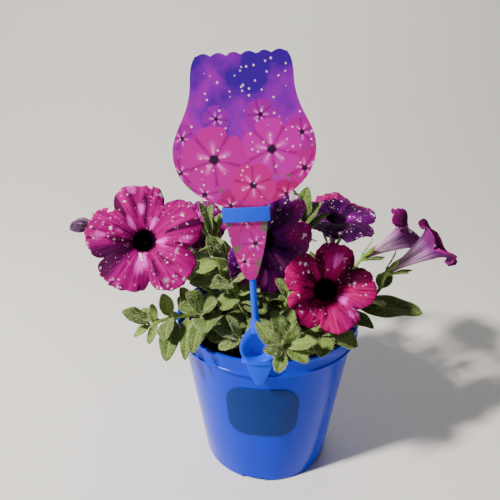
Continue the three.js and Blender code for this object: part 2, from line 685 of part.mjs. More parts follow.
function bloomSolid(bloom) {
  const frame = bloomFrame(bloom);
  const ring = (side) => ([t, count]) => Array.from({ length: count }, (_, j) => {
    const angle = (2 * Math.PI * j) / count;
    const out = bloomNormal(bloom, frame, angle, t).multiplyScalar((side * BLOOM.wall) / 2);
    return bloomPoint(bloom, frame, angle, t).add(out);
  });
  return cup(BLOOM.rows.map(ring(-1)), BLOOM.rows.map(ring(1)));
}

// ---- flower stalk and calyx --------------------------------------------------------------------
function stalkLine(stem, foot, axis) {
  const line = stemLine(stem);
  const start = bezier(line, STEM.stalkFrom);
  const gap = foot.distanceTo(start);
  const end = foot.clone().addScaledVector(axis, -GAP);
  return [
    start, start.clone().addScaledVector(heading(line, STEM.stalkFrom), gap * 0.35),
    end.clone().addScaledVector(axis, -gap * 0.35), end,
  ];
}

function sepalLeaf(frame, k) {
  const a = (2 * Math.PI * k) / CALYX.sepals;
  const side = frame.u.clone().multiplyScalar(Math.cos(a)).addScaledVector(frame.v, Math.sin(a));
  const out = frame.axis.clone().multiplyScalar(Math.cos(CALYX.open));
  out.addScaledVector(side, Math.sin(CALYX.open));
  const seat = frame.foot.clone().addScaledVector(side, CALYX.seat - BLOOM.wall);
  return {
    base: seat.addScaledVector(frame.axis, -CALYX.low),
    out, up: side.clone().negate().addScaledVector(out, side.dot(out)).normalize(),
    length: CALYX.length, width: CALYX.width, droop: 0.35, fold: 0.1, wave: 0, phase: 0, sepal: true,
  };
}

function flowerStalk(stem, frame) {
  const line = stalkLine(stem, frame.foot, frame.axis);
  const swell = (t) => mix(STEM.thin, CALYX.seat, Math.max(0, 4 * t - 3));
  const stalk = loft(shootRings(line, swell, STEM.stalkSteps, STEM.sides));
  const sepals = Array.from({ length: CALYX.sepals }, (_, k) => leafSolid(sepalLeaf(frame, k)));
  return [stalk, ...sepals];
}

// ---- leaves placed by rule, each turned clear of what belongs to another node -----------------
const taken = []; // points to keep clear of; the reach is for other nodes, own for leaves of the same stem

function take(points, reach, owner, own = 0) {
  points.forEach((at) => taken.push({ at, reach, owner, own }));
}

function takeLeaf(leaf, owner) {
  take(leafCloud(leaf).slice(0, LEAF.root), LEAF.keepOff, owner);
  take(leafCloud(leaf).slice(LEAF.root), LEAF.keepOff, owner, LEAF.ownOff);
}

function insidePot(p) {
  const r = Math.hypot(p.x, p.y);
  if (p.z < MIX.top + LEAF.sealOff && r < innerRadius(MIX.top)) return true;
  const inWall = r > innerRadius(MIX.top) - LEAF.keepOff && r < POT.rimRadius + LEAF.keepOff;
  return inWall && p.z < POT.height + LEAF.keepOff;
}

function leafCloud(leaf) {
  const points = [];
  for (let i = 1; i <= 10; i++) {
    for (const v of [-1, -0.5, 0, 0.5, 1]) points.push(leafPoint(leaf, i / 10, v));
  }
  return points;
}

function isClear(points, owner) {
  if (points.some(insidePot)) return false;
  const near = taken.filter((o) => o.at.distanceTo(points[25]) < 30);
  const allowed = (o, i) => (o.owner !== owner ? o.reach : i < LEAF.root ? 0 : o.own);
  return points.every((p, i) => near.every((o) => p.distanceTo(o.at) >= allowed(o, i)));
}

const TRIES = [0, 0.5, -0.5, 1, -1, 1.6, -1.6, 2.3, -2.3];

// A leaf that is given by its tip: its arc starts raised by half of what it droops.
function placedLeaves(stem) {
  const own = PLACED.filter(([name]) => name === stem.name);
  const leaves = own.map(([, t, tip, width, facing = FACE_UP], i) => {
    const base = bezier(stemLine(stem), t);
    const chord = vec(tip).sub(base);
    const droop = 0.7;
    const up = vec(facing);
    const straight = chord.clone().normalize();
    up.addScaledVector(straight, -up.dot(straight)).normalize();
    const [c, s] = [Math.cos(droop / 2), Math.sin(droop / 2)];
    const out = straight.clone().multiplyScalar(c).addScaledVector(up, s);
    up.multiplyScalar(c).addScaledVector(straight, -s);
    const length = (chord.length() * droop) / 2 / s;
    return { base, out, up, length, width, droop, fold: 0.22, wave: LEAF.wave, phase: 2.1 * i };
  });
  leaves.forEach((leaf) => takeLeaf(leaf, stem.name));
  return leaves;
}

function grownLeaf(stem, i, random) {
  const [count, longest, from] = stem.leaves;
  const t = mix(from, 0.98, i / (count - 1));
  const line = stemLine(stem);
  const along = heading(line, t);
  const [u, v] = crossFrame(along);
  const young = Math.max(0, (t - 0.6) / 0.4);
  const length = longest * mix(1, 0.55, young ** 2) * mix(0.88, 1.12, random());
  const open = mix(1.25, 0.5, young);
  const start = i * LEAF.golden + 0.6 * random();
  const width = length * stem.broad * mix(0.9, 1.1, random());
  const droop = mix(1.1, 0.35, young) * mix(0.7, 1.2, random());
  const fold = mix(0.12, 0.45, young);
  const shared = { length, width, droop, fold, wave: LEAF.wave, phase: 2 * Math.PI * random() };
  return (turn, lift) => {
    const a = start + turn;
    const side = u.clone().multiplyScalar(Math.cos(a)).addScaledVector(v, Math.sin(a));
    const out = along.clone().multiplyScalar(Math.cos(open)).addScaledVector(side, Math.sin(open));
    out.z = out.z * 0.75 + 0.18 + lift;
    out.normalize();
    const up = along.clone().multiplyScalar(0.5).add(V(0, 0, 0.8));
    up.addScaledVector(out, -up.dot(out)).normalize();
    return { base: bezier(line, t).addScaledVector(out, 0.2), out, up, ...shared };
  };
}

function leavesOf(stem, seed) {
  const random = randomSource(seed);
  const kept = [];
  for (let i = 0; i < stem.leaves[0]; i++) {
    const grow = grownLeaf(stem, i, random);
    const options = [0, 0.45].flatMap((lift) => TRIES.map((turn) => grow(turn, lift)));
    const leaf = options.find((option) => isClear(leafCloud(option), stem.name));
    if (!leaf) continue;
    takeLeaf(leaf, stem.name);
    kept.push(leaf);
  }
  return kept;
}

function linePoints(line, steps) {
  return Array.from({ length: steps + 1 }, (_, i) => bezier(line, i / steps));
}

// ---- the plant -----------------------------------------------------------------------------------
function withered(frame) {
  const { radii, sides, length, sag, twist, pleatIn, pleatOut } = WITHERED;
  return loft(radii.map((radius, i) => {
    const t = i / (radii.length - 1);
    const centre = frame.foot.clone().addScaledVector(frame.axis, length * t).add(V(0, 0, -sag * t * t));
    return Array.from({ length: sides }, (_, j) => {
      const a = (2 * Math.PI * j) / sides + twist * t;
      const r = radius * (1 + (j % 2 ? -pleatIn : pleatOut) * t);
      const reach = frame.u.clone().multiplyScalar(r * Math.cos(a)).addScaledVector(frame.v, r * Math.sin(a));
      return reach.add(centre);
    });
  }));
}

// Keeps leaves off a bloom: rings of points over its tube and limb.
function takeBloom(bloom, frame) {
  const rings = 16;
  for (let i = 0; i <= rings; i++) {
    const count = 2 * i > rings ? 60 : 6;
    const at = (j) => bloomPoint(bloom, frame, (2 * Math.PI * j) / count, i / rings);
    take(Array.from({ length: count }, (_, j) => at(j)), REACH.bloom, `bloom_${bloom.name}`);
  }
}

function takeFlower(owner, stem, frame) {
  take(linePoints(stalkLine(stem, frame.foot, frame.axis), 12), REACH.stem, owner);
  for (let k = 0; k < CALYX.sepals; k++) {
    take(leafCloud(sepalLeaf(frame, k)).filter((_, i) => i % 5 === 2), REACH.sepal, owner);
  }
}

function witheredFrame() {
  const axis = vec(WITHERED.faces).normalize();
  const [u, v] = crossFrame(axis);
  return { axis, u, v, foot: vec(WITHERED.tip).addScaledVector(axis, -WITHERED.length) };
}

function plant() {
  const group = new THREE.Group();
  const stalks = Object.fromEntries(STEMS.map((stem) => [stem.name, []]));
  const addFlower = (owner, frame) => {
    const stem = STEMS.find((s) => s.name === owner);
    stalks[owner].push(...flowerStalk(stem, frame));
    takeFlower(owner, stem, frame);
  };
  STEMS.forEach((stem) => take(linePoints(stemLine(stem), 24), REACH.stem, stem.name));
  for (const bloom of BLOOMS.map(bloomShape)) {
    const frame = bloomFrame(bloom);
    addFlower(bloom.stem, frame);
    takeBloom(bloom, frame);
    group.add(node(`bloom_${bloom.name}`, bloomSolid(bloom), COLOUR.bloom, 0.6));
  }
  const end = witheredFrame();
  addFlower(WITHERED.stem, end);
  group.add(node('bud_withered', withered(end), COLOUR.withered, 0.8));
  const placed = Object.fromEntries(STEMS.map((stem) => [stem.name, placedLeaves(stem)]));
  STEMS.forEach((stem, i) => {
    const leaves = [...placed[stem.name], ...leavesOf(stem, 100 + i)].map(leafSolid);
    const whole = joined([stemSolid(stem), ...stalks[stem.name], ...leaves]);
    group.add(node(`stem_${stem.name}`, whole, COLOUR.stem, 0.8));
  });
  return group;
}

// Keeps leaves off the label, the rod, the scoop and the grip.
function keepLabelClear() {
  const each = (from, to, step, put) => {
    for (let q = from; q <= to; q += step) put(q);
  };
  each(LABEL.tail - 2, LABEL.top, 4, (z) => {
    const half = z < BAR.low ? 12 : z < BAR.high + 2 ? 14 : LABEL.bulgeHalf;
    each(-half, half, 4, (x) => take([onClip(BAR.centre + x, -LABEL.behind, z)], REACH.label, 'label'));
  });
  each(0, ROD.top, 3, (z) => take([onClip(ROD.offset, 0, z)], REACH.rod, 'clip'));
  each(0, SCOOP.top, 3, (z) => {
    each(-12, 12, 3, (x) => take([onClip(x, -1, z), onClip(x, 3, z)], REACH.clip, 'clip'));
  });
  each(-LEG.drop, -1, 3, (z) => {
    each(-8, 8, 3, (x) => take([onClip(x, SHELF.back, z), onClip(x, -1, z - 4)], REACH.clip, 'clip'));
  });
}

keepLabelClear();
clipPlane.add(node('label_clip', clip(), COLOUR.pot, 0.35), node('plant_label', label(), COLOUR.label, 0.4));

const whole = new THREE.Group();
whole.add(
  node('pot', pot(), COLOUR.pot, 0.25), node('potting_mix', pottingMix(), COLOUR.mix, 0.95),
  node('name_patch', patch(), COLOUR.patch, 0.5), clipPlane, plant(),
);

export default whole;
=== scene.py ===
import math
import bmesh
import bpy
import numpy as np
from mathutils import Matrix, Vector, noise


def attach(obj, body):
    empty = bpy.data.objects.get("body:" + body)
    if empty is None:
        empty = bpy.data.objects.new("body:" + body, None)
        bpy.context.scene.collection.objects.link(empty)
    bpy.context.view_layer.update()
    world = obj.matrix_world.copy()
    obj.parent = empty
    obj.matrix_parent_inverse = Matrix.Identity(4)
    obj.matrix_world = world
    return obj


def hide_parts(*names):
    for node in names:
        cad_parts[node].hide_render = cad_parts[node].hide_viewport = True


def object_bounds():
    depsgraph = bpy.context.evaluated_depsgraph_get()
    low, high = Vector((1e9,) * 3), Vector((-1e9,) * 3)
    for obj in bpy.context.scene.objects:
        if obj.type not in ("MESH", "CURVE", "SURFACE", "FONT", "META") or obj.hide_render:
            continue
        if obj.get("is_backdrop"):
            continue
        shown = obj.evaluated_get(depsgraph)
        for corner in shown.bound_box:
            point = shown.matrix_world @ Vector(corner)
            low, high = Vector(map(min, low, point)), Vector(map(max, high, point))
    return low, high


# Dressed model of a petunia in a standing nursery pot, with a picture label held on the rim by a clip.
# Metres, +Z up, the label at the front (-Y). Each section below is one piece or group of like pieces.
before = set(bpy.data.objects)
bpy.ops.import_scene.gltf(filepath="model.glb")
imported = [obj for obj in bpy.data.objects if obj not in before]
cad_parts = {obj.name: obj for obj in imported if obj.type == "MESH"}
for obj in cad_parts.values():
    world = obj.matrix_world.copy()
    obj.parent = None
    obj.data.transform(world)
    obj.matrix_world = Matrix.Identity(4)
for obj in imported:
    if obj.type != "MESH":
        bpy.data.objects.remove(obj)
cad_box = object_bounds()


# ---- the studio -------------------------------------------------------------------------------
# A sheet of matt pale paper, swept up behind the plant, a large lamp high on the left like the sun in
# the photograph, a broad weak one on the right, and the camera a little above, looking down at the rim.
def paint(code):
    """An sRGB hex colour as linear RGBA."""
    shares = [int(code[i:i + 2], 16) / 255 for i in (1, 3, 5)]
    return tuple(c / 12.92 if c <= 0.04045 else ((c + 0.055) / 1.055) ** 2.4 for c in shares) + (1.0,)


def new_finish(name):
    """An empty material and its node tree."""
    finish = bpy.data.materials.new(name)
    finish.use_nodes = True
    finish.node_tree.nodes.clear()
    return finish, finish.node_tree


def wire(tree, kind, links=None, **settings):
    """Adds a node: its settings, then what its inputs hold or are linked to."""
    added = tree.nodes.new(kind)
    for name, value in settings.items():
        setattr(added, name, value)
    for name, value in (links or {}).items():
        if isinstance(value, bpy.types.NodeSocket):
            tree.links.new(value, added.inputs[name])
        else:
            added.inputs[name].default_value = paint(value) if isinstance(value, str) else value
    return added


def mottle(tree, where, scale, detail=2):
    """Cloudy noise from 0 to 1; with no place given it follows the piece's own box."""
    links = {"Scale": scale, "Detail": detail}
    if where:
        links["Vector"] = where
    return wire(tree, "ShaderNodeTexNoise", links).outputs["Fac"]


def blend(tree, share, one, other, kind="MIX"):
    """A share of the other colour laid over the one."""
    links = {0: share, 6: one, 7: other}
    return wire(tree, "ShaderNodeMix", links, data_type="RGBA", blend_type=kind).outputs[2]


def surface(tree, tone, roughness, bumps=None, **more):
    """A material's surface, joined to its output."""
    links = {"Base Color": tone, "Roughness": roughness}
    if bumps:
        links["Normal"] = bumps
    for name, value in more.items():
        links[name.replace("_", " ")] = value
    shader = wire(tree, "ShaderNodeBsdfPrincipled", links)
    wire(tree, "ShaderNodeOutputMaterial", {"Surface": shader.outputs[0]})


def make_object(name, shape, finishes, smooth=True):
    mesh = bpy.data.meshes.new(name)
    shape.to_mesh(mesh)
    shape.free()
    for finish in finishes:
        mesh.materials.append(finish)
    if smooth:
        mesh.shade_smooth()
    made = bpy.data.objects.new(name, mesh)
    bpy.context.scene.collection.objects.link(made)
    return made


paper, tree = new_finish("matt paper")
grain = mottle(tree, None, 900, 3)
paper_tone = blend(tree, grain, "#EDEDEB", "#F6F6F4")
surface(tree, paper_tone, 0.95, Specular_IOR_Level=0.1)

sweep = bmesh.new()
chain = [sweep.verts.new((-3.0, -3.0, 0.0)), sweep.verts.new((-3.0, 0.5, 0.0))]
for step in range(1, 13):
    turn = math.radians(7.5 * step)
    chain.append(sweep.verts.new((-3.0, 0.5 + 0.9 * math.sin(turn), 0.9 - 0.9 * math.cos(turn))))
chain.append(sweep.verts.new((-3.0, 1.4, 4.0)))
edges = [sweep.edges.new(pair) for pair in zip(chain, chain[1:])]
drawn = bmesh.ops.extrude_edge_only(sweep, edges=edges)["geom"]
bmesh.ops.translate(sweep, vec=(6, 0, 0), verts=[g for g in drawn if isinstance(g, bmesh.types.BMVert)])
make_object("paper_sweep", sweep, [paper])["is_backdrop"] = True

world = bpy.data.worlds.new("soft studio")
world.use_nodes = True
bpy.context.scene.world = world
sky_light = world.node_tree.nodes["Background"].inputs
sky_light["Color"].default_value = paint("#F2F5FF")
sky_light["Strength"].default_value = 0.08

LAMPS = [  # name, place, side in metres, watts, colour
    ("key", (-1.06, -0.68, 1.27), 0.13, 61, "#FFF6EA"),
    ("fill", (1.3, -1.0, 0.7), 1.2, 0.7, "#EEF3FF"),
    ("rim", (0.3, 1.1, 1.2), 0.8, 3.0, "#FFFFFF"),
]
for name, place, side, watts, tint in LAMPS:
    lamp = bpy.data.lights.new(name, "AREA")
    lamp.size = side
    lamp.energy = watts
    lamp.color = paint(tint)[:3]
    stand = bpy.data.objects.new(name, lamp)
    stand.location = place
    stand.rotation_euler = (Vector((0, 0, 0.15)) - Vector(place)).to_track_quat("-Z", "Y").to_euler()
    bpy.context.scene.collection.objects.link(stand)

camera = bpy.data.objects.new("camera", bpy.data.cameras.new("camera"))
camera.data.lens = 34.4
camera.data.sensor_width = 36
camera.location = (0, -0.326, 0.311)
camera.rotation_euler = (math.radians(90 - 22.7), 0, math.radians(2.4))
bpy.context.scene.collection.objects.link(camera)
bpy.context.scene.camera = camera

# ---- the nursery pot --------------------------------------------------------------------------
# A thin-walled round pot, injection-moulded in one piece from blue polypropylene: a tapered wall, a
# stepped band under the rolled lip, and drain notches cut through the foot.
MM = 0.001
BAND_LOW = 113 * MM
FOOT_RADIUS = 51 * MM
WALL_TOP_RADIUS = 66.4 * MM
CORNER_RISE = 2.4 * MM
WALL = 1.5 * MM
SOIL_TOP = 108 * MM


def wall_radius(height):
    share = (height - CORNER_RISE) / (BAND_LOW - CORNER_RISE)
    return FOOT_RADIUS + (WALL_TOP_RADIUS - FOOT_RADIUS) * share


def inner_radius(height):
    return wall_radius(max(height, CORNER_RISE)) - WALL


def faces_out(shape):
    bmesh.ops.recalc_face_normals(shape, faces=shape.faces)


def spun(profile, turns):
    """A solid of revolution about Z from (radius, height) pairs."""
    shape = bmesh.new()
    corners = [shape.verts.new((radius, 0, height)) for radius, height in profile]
    lines = [shape.edges.new(pair) for pair in zip(corners, corners[1:])]
    bmesh.ops.spin(
        shape, geom=corners + lines, cent=(0, 0, 0), axis=(0, 0, 1), angle=2 * math.pi, steps=turns,
        use_merge=True,
    )
    bmesh.ops.remove_doubles(shape, verts=shape.verts, dist=1e-6)
    faces_out(shape)
    return shape


def seat(piece, slot, *nodes):
    """The piece rides on the plant's one body and stands for the named CAD nodes."""
    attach(piece, "root")
    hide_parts(*nodes)


def settle(piece, kind, **settings):
    """Works one modifier into a piece's mesh."""
    change = piece.modifiers.new(kind, kind)
    for name, value in settings.items():
        setattr(change, name, value)
    finished = bpy.data.meshes.new_from_object(piece.evaluated_get(bpy.context.evaluated_depsgraph_get()))
    piece.modifiers.clear()
    piece.data = finished


def object_place(tree):
    return wire(tree, "ShaderNodeTexCoord").outputs["Object"]


def work_out(tree, operation, *values):
    """Arithmetic on one to three values."""
    return wire(tree, "ShaderNodeMath", dict(enumerate(values)), operation=operation).outputs[0]


def rescaled(tree, value, low=0, high=1, new_low=0, new_high=1):
    """A value carried from one range into another and held inside it."""
    links = {"Value": value, "From Min": low, "From Max": high, "To Min": new_low, "To Max": new_high}
    return wire(tree, "ShaderNodeMapRange", links).outputs[0]


def ramp(tree, share, *stops):
    """Colours run together between stops, each a place and a colour."""
    added = wire(tree, "ShaderNodeValToRGB", {"Fac": share})
    row = added.color_ramp.elements
    for i, (place, colour) in enumerate([stops[0], stops[-1], *stops[1:-1]]):
        stop = row[i] if i < 2 else row.new(place)
        stop.position = place
        stop.color = paint(colour)
    return added.outputs["Color"]


def relief(tree, height, strength, depth):
    """Bumps from a height."""
    links = {"Height": height, "Strength": strength, "Distance": depth}
    return wire(tree, "ShaderNodeBump", links).outputs[0]


# Glossy moulded polypropylene: deep, even blue with a wet-looking shine, faint flow marks down the
# wall from the mould, fine scuffs that break the highlights, and dust from the potting bench.
pot_plastic, tree = new_finish("moulded blue polypropylene")
place = object_place(tree)
stretched = wire(tree, "ShaderNodeMapping", {"Vector": place, "Scale": (1, 1, 0.12)})
flow = mottle(tree, stretched.outputs[0], 60, 4)
scuff = mottle(tree, place, 420, 6)
cloud = mottle(tree, place, 22, 3)
blue = blend(tree, flow, "#0028C0", "#0034DC")
dusty = ramp(tree, scuff, (0.66, "#000000"), (0.76, "#FFFFFF"))
thin_dust = work_out(tree, "MULTIPLY", dusty, 0.04)
pot_tone = blend(tree, thin_dust, blue, "#8C9DB8")
shine = rescaled(tree, cloud, 0, 1, 0.14, 0.26)
ripple = relief(tree, flow, 0.16, 0.0012)
surface(tree, pot_tone, shine, ripple, IOR=1.49, Specular_IOR_Level=0.12)

POT_PROFILE = [  # radius and height in mm, round the foot, up the outside, over the lip and down inside
    (0, 0), (47.6, 0), (49.2, 0), (50.2, 0.5), (50.8, 1.3), (51.05, 2.4), (56.5, 42), (62, 81.5),
    (66.2, 111.4), (66.45, 112.5), (67.0, 112.95), (69.2, 113.0), (69.7, 113.2), (69.9, 113.7),
    (69.7, 114.3), (69.1, 114.8), (68.9, 116), (69.15, 121.4), (69.5, 122.2), (69.95, 122.9),
    (70.0, 124.2), (69.85, 124.7), (69.4, 125), (68.6, 125),
    (67.9, 125), (67.4, 124.7), (67.2, 124.1), (66.9, 121.6), (66.2, 120.2), (65.9, 118), (64.6, 110),
    (60.5, 81.5), (55, 42), (49.55, 2.6), (48.2, 2.25), (46, 2.2), (0, 2.2),
]
NOTCHES = 5
pot_shape = spun([(r * MM, h * MM) for r, h in POT_PROFILE], 160)
pot = make_object("nursery_pot", pot_shape, [pot_plastic])
cutters = bmesh.new()
for i in range(NOTCHES):
    made = bmesh.ops.create_cube(cutters, size=1.0)["verts"]
    turn = Matrix.Rotation(math.radians(-100 + 360 * i / NOTCHES), 4, "Z")
    sizes = Matrix.Diagonal((9 * MM, 17 * MM, 6.4 * MM, 1))
    bmesh.ops.transform(cutters, matrix=turn @ Matrix.Translation((FOOT_RADIUS, 0, 0)) @ sizes, verts=made)
cutter = make_object("notch_cutter", cutters, [])
settle(pot, "BOOLEAN", object=cutter, operation="DIFFERENCE", solver="EXACT")
bpy.data.objects.remove(cutter)
pot.data.set_sharp_from_angle(angle=math.radians(35))
seat(pot, "pot_plastic", "pot")

# ---- the potting mix --------------------------------------------------------------------------
# Loose peat and bark fill the pot to 17 mm under the rim: a plug with a lumpy top, strewn with crumbs
# of bark, dark because it is moist.
moist_peat, tree = new_finish("moist peat and bark")
place = object_place(tree)
lumps = mottle(tree, place, 260, 8)
chips = wire(tree, "ShaderNodeTexVoronoi", {"Vector": place, "Scale": 420})
peat = ramp(tree, lumps, (0.3, "#0B0807"), (0.5, "#231A14"), (0.72, "#4A382B"))
peat_bits = blend(tree, 0.35, peat, chips.outputs["Color"], "MULTIPLY")
crumbly = relief(tree, lumps, 0.9, 0.0015)
surface(tree, peat_bits, 0.93, crumbly)


def drawing_lots(seed):
    """Even draws from 0 to 1, the same each run."""
    state = seed

    def draw():
        nonlocal state
        state = (state * 1664525 + 1013904223) & 0xFFFFFFFF
        return state / 4294967296

    for _ in range(4):
        draw()
    return draw


edge = inner_radius(SOIL_TOP) - 0.3 * MM
plug = spun([
    (0, 2.5 * MM), (40 * MM, 2.5 * MM), (50 * MM, 12 * MM), (edge - 1 * MM, 100 * MM), (edge, 106.6 * MM),
] + [(edge * (1 - i / 26), SOIL_TOP) for i in range(1, 26)] + [(0, SOIL_TOP)], 96)
LUMPS = [(0.06, 1.3), (0.21, 0.9), (0.6, 0.6)]  # how close together and how high, in mm
for corner in plug.verts:
    if corner.co.z > 105 * MM:
        rough = sum(noise.noise(corner.co * 1000 * close) * high for close, high in LUMPS)
        corner.co.z += (rough - 0.7) * MM
seat(make_object("potting_mix_plug", plug, [moist_peat]), "potting_mix", "potting_mix")

CRUMBS = 900
FULL_TURN = 6.28  # near enough for a random draw
lots = drawing_lots(51)
crumbs = bmesh.new()
for _ in range(CRUMBS):
    far = edge * math.sqrt(lots()) * 0.985
    turn = 2 * math.pi * lots()
    size = (0.5 + 1.5 * lots() ** 3) * MM
    spot = Matrix.Translation((far * math.cos(turn), far * math.sin(turn), SOIL_TOP + size * 0.2 - 0.5 * MM))
    spot = spot @ Matrix.Rotation(FULL_TURN * lots(), 4, "Z")
    spot = spot @ Matrix.Diagonal((1.6, 0.9 + lots() * 0.5, 0.6, 1))
    bmesh.ops.create_icosphere(crumbs, subdivisions=1, radius=size, matrix=spot)
seat(make_object("bark_crumbs", crumbs, [moist_peat], smooth=False), "potting_mix", "potting_mix")

# ---- the patch on the pot's front -------------------------------------------------------------
# A bare stick-on patch of dark blue vinyl film, cut with rounded corners and pressed onto the wall.
PATCH_HALF_WIDTH = 26 * MM
PATCH_LOW = 53 * MM
PATCH_HIGH = 99.5 * MM
PATCH_CORNER = 14 * MM
PATCH_ARCH = 2.4 * MM
PATCH_TURN = math.radians(-92.5)

# Calendered vinyl: an even satin dark blue with slight clouds where the film has stretched.
vinyl, tree = new_finish("satin blue vinyl film")
place = object_place(tree)
cloud = mottle(tree, place, 70, 4)
fine = mottle(tree, place, 800)
film_tone = blend(tree, cloud, "#0E2A72", "#14357E")
film_skin = relief(tree, fine, 0.1, 0.0004)
film_shine = rescaled(tree, cloud, 0, 1, 0.36, 0.5)
surface(tree, film_tone, film_shine, film_skin, Specular_IOR_Level=0.08)

film = bmesh.new()
bmesh.ops.create_grid(film, x_segments=48, y_segments=24, size=1.0)
middle = (PATCH_LOW + PATCH_HIGH) / 2
for corner in film.verts:
    across = PATCH_HALF_WIDTH * math.sin(corner.co.x * math.pi / 2)
    past = max(0.0, abs(across) - (PATCH_HALF_WIDTH - PATCH_CORNER))
    tall = (PATCH_HIGH - PATCH_LOW) / 2 - PATCH_CORNER + math.sqrt(max(0.0, PATCH_CORNER ** 2 - past ** 2))
    height = middle - PATCH_ARCH * (across / PATCH_HALF_WIDTH) ** 2 + max(tall, 9.3 * MM) * corner.co.y
    turn = PATCH_TURN + across / wall_radius(middle)
    out = wall_radius(height) + 0.45 * MM
    corner.co = (out * math.cos(turn), out * math.sin(turn), height)
faces_out(film)
patch = make_object("name_patch_film", film, [vinyl])
settle(patch, "SOLIDIFY", thickness=0.55 * MM, offset=1)
settle(patch, "BEVEL", width=0.22 * MM, segments=2)
patch.data.shade_smooth()
seat(patch, "patch_film", "name_patch")

# ---- the label clip ---------------------------------------------------------------------------
# One small moulding of the pot's blue plastic: a shelf, tongue and leg that grip the rim, a round
# scoop with a rod standing up from it, and a bare slotted bar that holds the label.
CLIP_LEAN = math.radians(3.8)
CLIP_PLACE = Matrix.Translation((-4.8 * MM, -70 * MM, 125.3 * MM)) @ Matrix.Rotation(-CLIP_LEAN, 4, "Y")
LEVEL = Matrix.Rotation(CLIP_LEAN, 4, "Y")

clip_plastic = pot_plastic.copy()
clip_plastic.name = "moulded blue polypropylene, satin"
for shader in clip_plastic.node_tree.nodes:
    if shader.type == "MAP_RANGE":
        shader.inputs["To Min"].default_value = 0.3
        shader.inputs["To Max"].default_value = 0.42
    # the pot's two blues swapped for lighter ones: painted light, the clip lit brighter than the shaded band
    # of the pot
    if shader.type == "MIX" and shader.inputs[6].default_value[2] > 0.5:
        shader.inputs[6].default_value = paint("#0640DC")
        shader.inputs[7].default_value = paint("#0A4AF4")


def block(shape, low, high, around=None):
    """A box between two corners in mm, turned by a matrix."""
    made = bmesh.ops.create_cube(shape, size=1.0)["verts"]
    low, high = Vector(low) * MM, Vector(high) * MM
    put = Matrix.Translation((low + high) / 2) @ Matrix.Diagonal((high - low).to_4d())
    put[3][3] = 1
    bmesh.ops.transform(shape, matrix=(around or Matrix()) @ put, verts=made)
    return made


def plate(shape, outline, thickness, around):
    """A flat outline in mm in the XZ plane, given a thickness towards +Y, turned by a matrix."""
    corners = [shape.verts.new((x * MM, 0, z * MM)) for x, z in outline]
    face = shape.faces.new(corners)
    made = bmesh.ops.extrude_face_region(shape, geom=[face])["geom"]
    far = [g for g in made if isinstance(g, bmesh.types.BMVert)]
    bmesh.ops.translate(shape, vec=(0, thickness * MM, 0), verts=far)
    bmesh.ops.transform(shape, matrix=around, verts=corners + far)
    return corners + far


def curve_through(points, count):
    """Points along quadratic pulls: each pair of entries after the first is (pull, end)."""
    made = [Vector(points[0])]
    for pull, end in zip(points[1::2], points[2::2]):
        start = made[-1].copy()
        for i in range(1, count + 1):
            t = i / count
            made.append(start * (1 - t) ** 2 + Vector(pull) * 2 * t * (1 - t) + Vector(end) * t * t)
    return made


def bridge(shape, *rings):
    """Faces between two rings of corners."""
    edges = {e for ring in rings for v in ring for e in v.link_edges if e.other_vert(v) in ring}
    bmesh.ops.bridge_loops(shape, edges=list(edges))


def teardrop(shape, half, low, high, y):
    made = bmesh.ops.create_circle(shape, segments=64, radius=1.0)["verts"]
    for corner in made:
        up = (1 + corner.co.y) / 2
        side = half * corner.co.x * math.sqrt(1 - 0.72 * up * up)
        corner.co = (side * MM, y * MM, (low + (high - low) * up) * MM)
    return made


clip = bmesh.new()
RINGS = [  # half width, low, high, depth: round the scoop's outside, over its edge and back inside
    (8.45, 1.0, 26, 5.4), (10.6, 0.6, 28, 2.2), (12.3, 0.25, 29.6, -1.6), (12.75, 0.2, 30, -2.5),
    (12.5, 0.4, 29.6, -3.0), (11.6, 1.4, 27.2, -3.25), (10.4, 2.5, 24.2, -3.05), (9.8, 3.0, 23, -2.4),
    (8.2, 3.3, 21.4, 1.2), (6.5, 3.6, 20, 3.8),
]
loops = [teardrop(clip, *ring) for ring in RINGS]
for one, other in zip(loops, loops[1:]):
    bridge(clip, one, other)
for end in (loops[0], loops[-1]):
    bmesh.ops.contextual_create(clip, geom=end)
shelf = curve_through([(-11.4, 7.7), (-11.4, 4), (-11.4, 0), (-10.4, -3.6), (0, -3.6), (10.4, -3.6),
                       (11.4, 0), (11.4, 4), (11.4, 7.7)], 8)
plate(clip, [(p.x, -p.y) for p in shelf], 3.0, LEVEL @ Matrix.Rotation(math.pi / 2, 4, "X"))
tongue = curve_through([(-8, 2.6), (-8, 0), (-8, -1.5), (-6.4, -9), (-2, -15.5), (0, -16.5), (2, -15.5),
                        (6.4, -9), (8, -1.5), (8, 0), (8, 2.6)], 8)
plate(clip, [(p.x, p.y) for p in tongue], 1.9, LEVEL @ Matrix.Translation((0, -2.45 * MM, 0)))
block(clip, (-7, 6.3, -11), (7, 7.7, 1.5), LEVEL)
for y, z, wide, narrow, long in [(0, 63.5, 2.35, 1.7, 77), (-0.2, 29, 4.6, 2.3, 9)]:  # the rod and its foot
    bmesh.ops.create_cone(
        clip, cap_ends=True, segments=28, radius1=wide * MM, radius2=narrow * MM, depth=long * MM,
        matrix=Matrix.Translation((-0.4 * MM, y * MM, z * MM)),
    )
for low, high in [
    ((-14.5, -4.6, 97.6), (12.1, -3.3, 105.8)), ((-14.5, -2.1, 97.6), (12.1, 0.4, 105.8)),
    ((-14.5, -3.4, 97.6), (-13.4, -2.0, 105.8)), ((11.0, -3.4, 97.6), (12.1, -2.0, 105.8)),
]:
    block(clip, low, high)
bmesh.ops.transform(clip, matrix=CLIP_PLACE, verts=clip.verts)
faces_out(clip)
clip_piece = make_object("label_clip_moulding", clip, [clip_plastic])
settle(clip_piece, "BEVEL", width=0.4 * MM, segments=3, limit_method="ANGLE", angle_limit=math.radians(40))
clip_piece.data.set_sharp_from_angle(angle=math.radians(40))
seat(clip_piece, "clip_plastic", "label_clip")

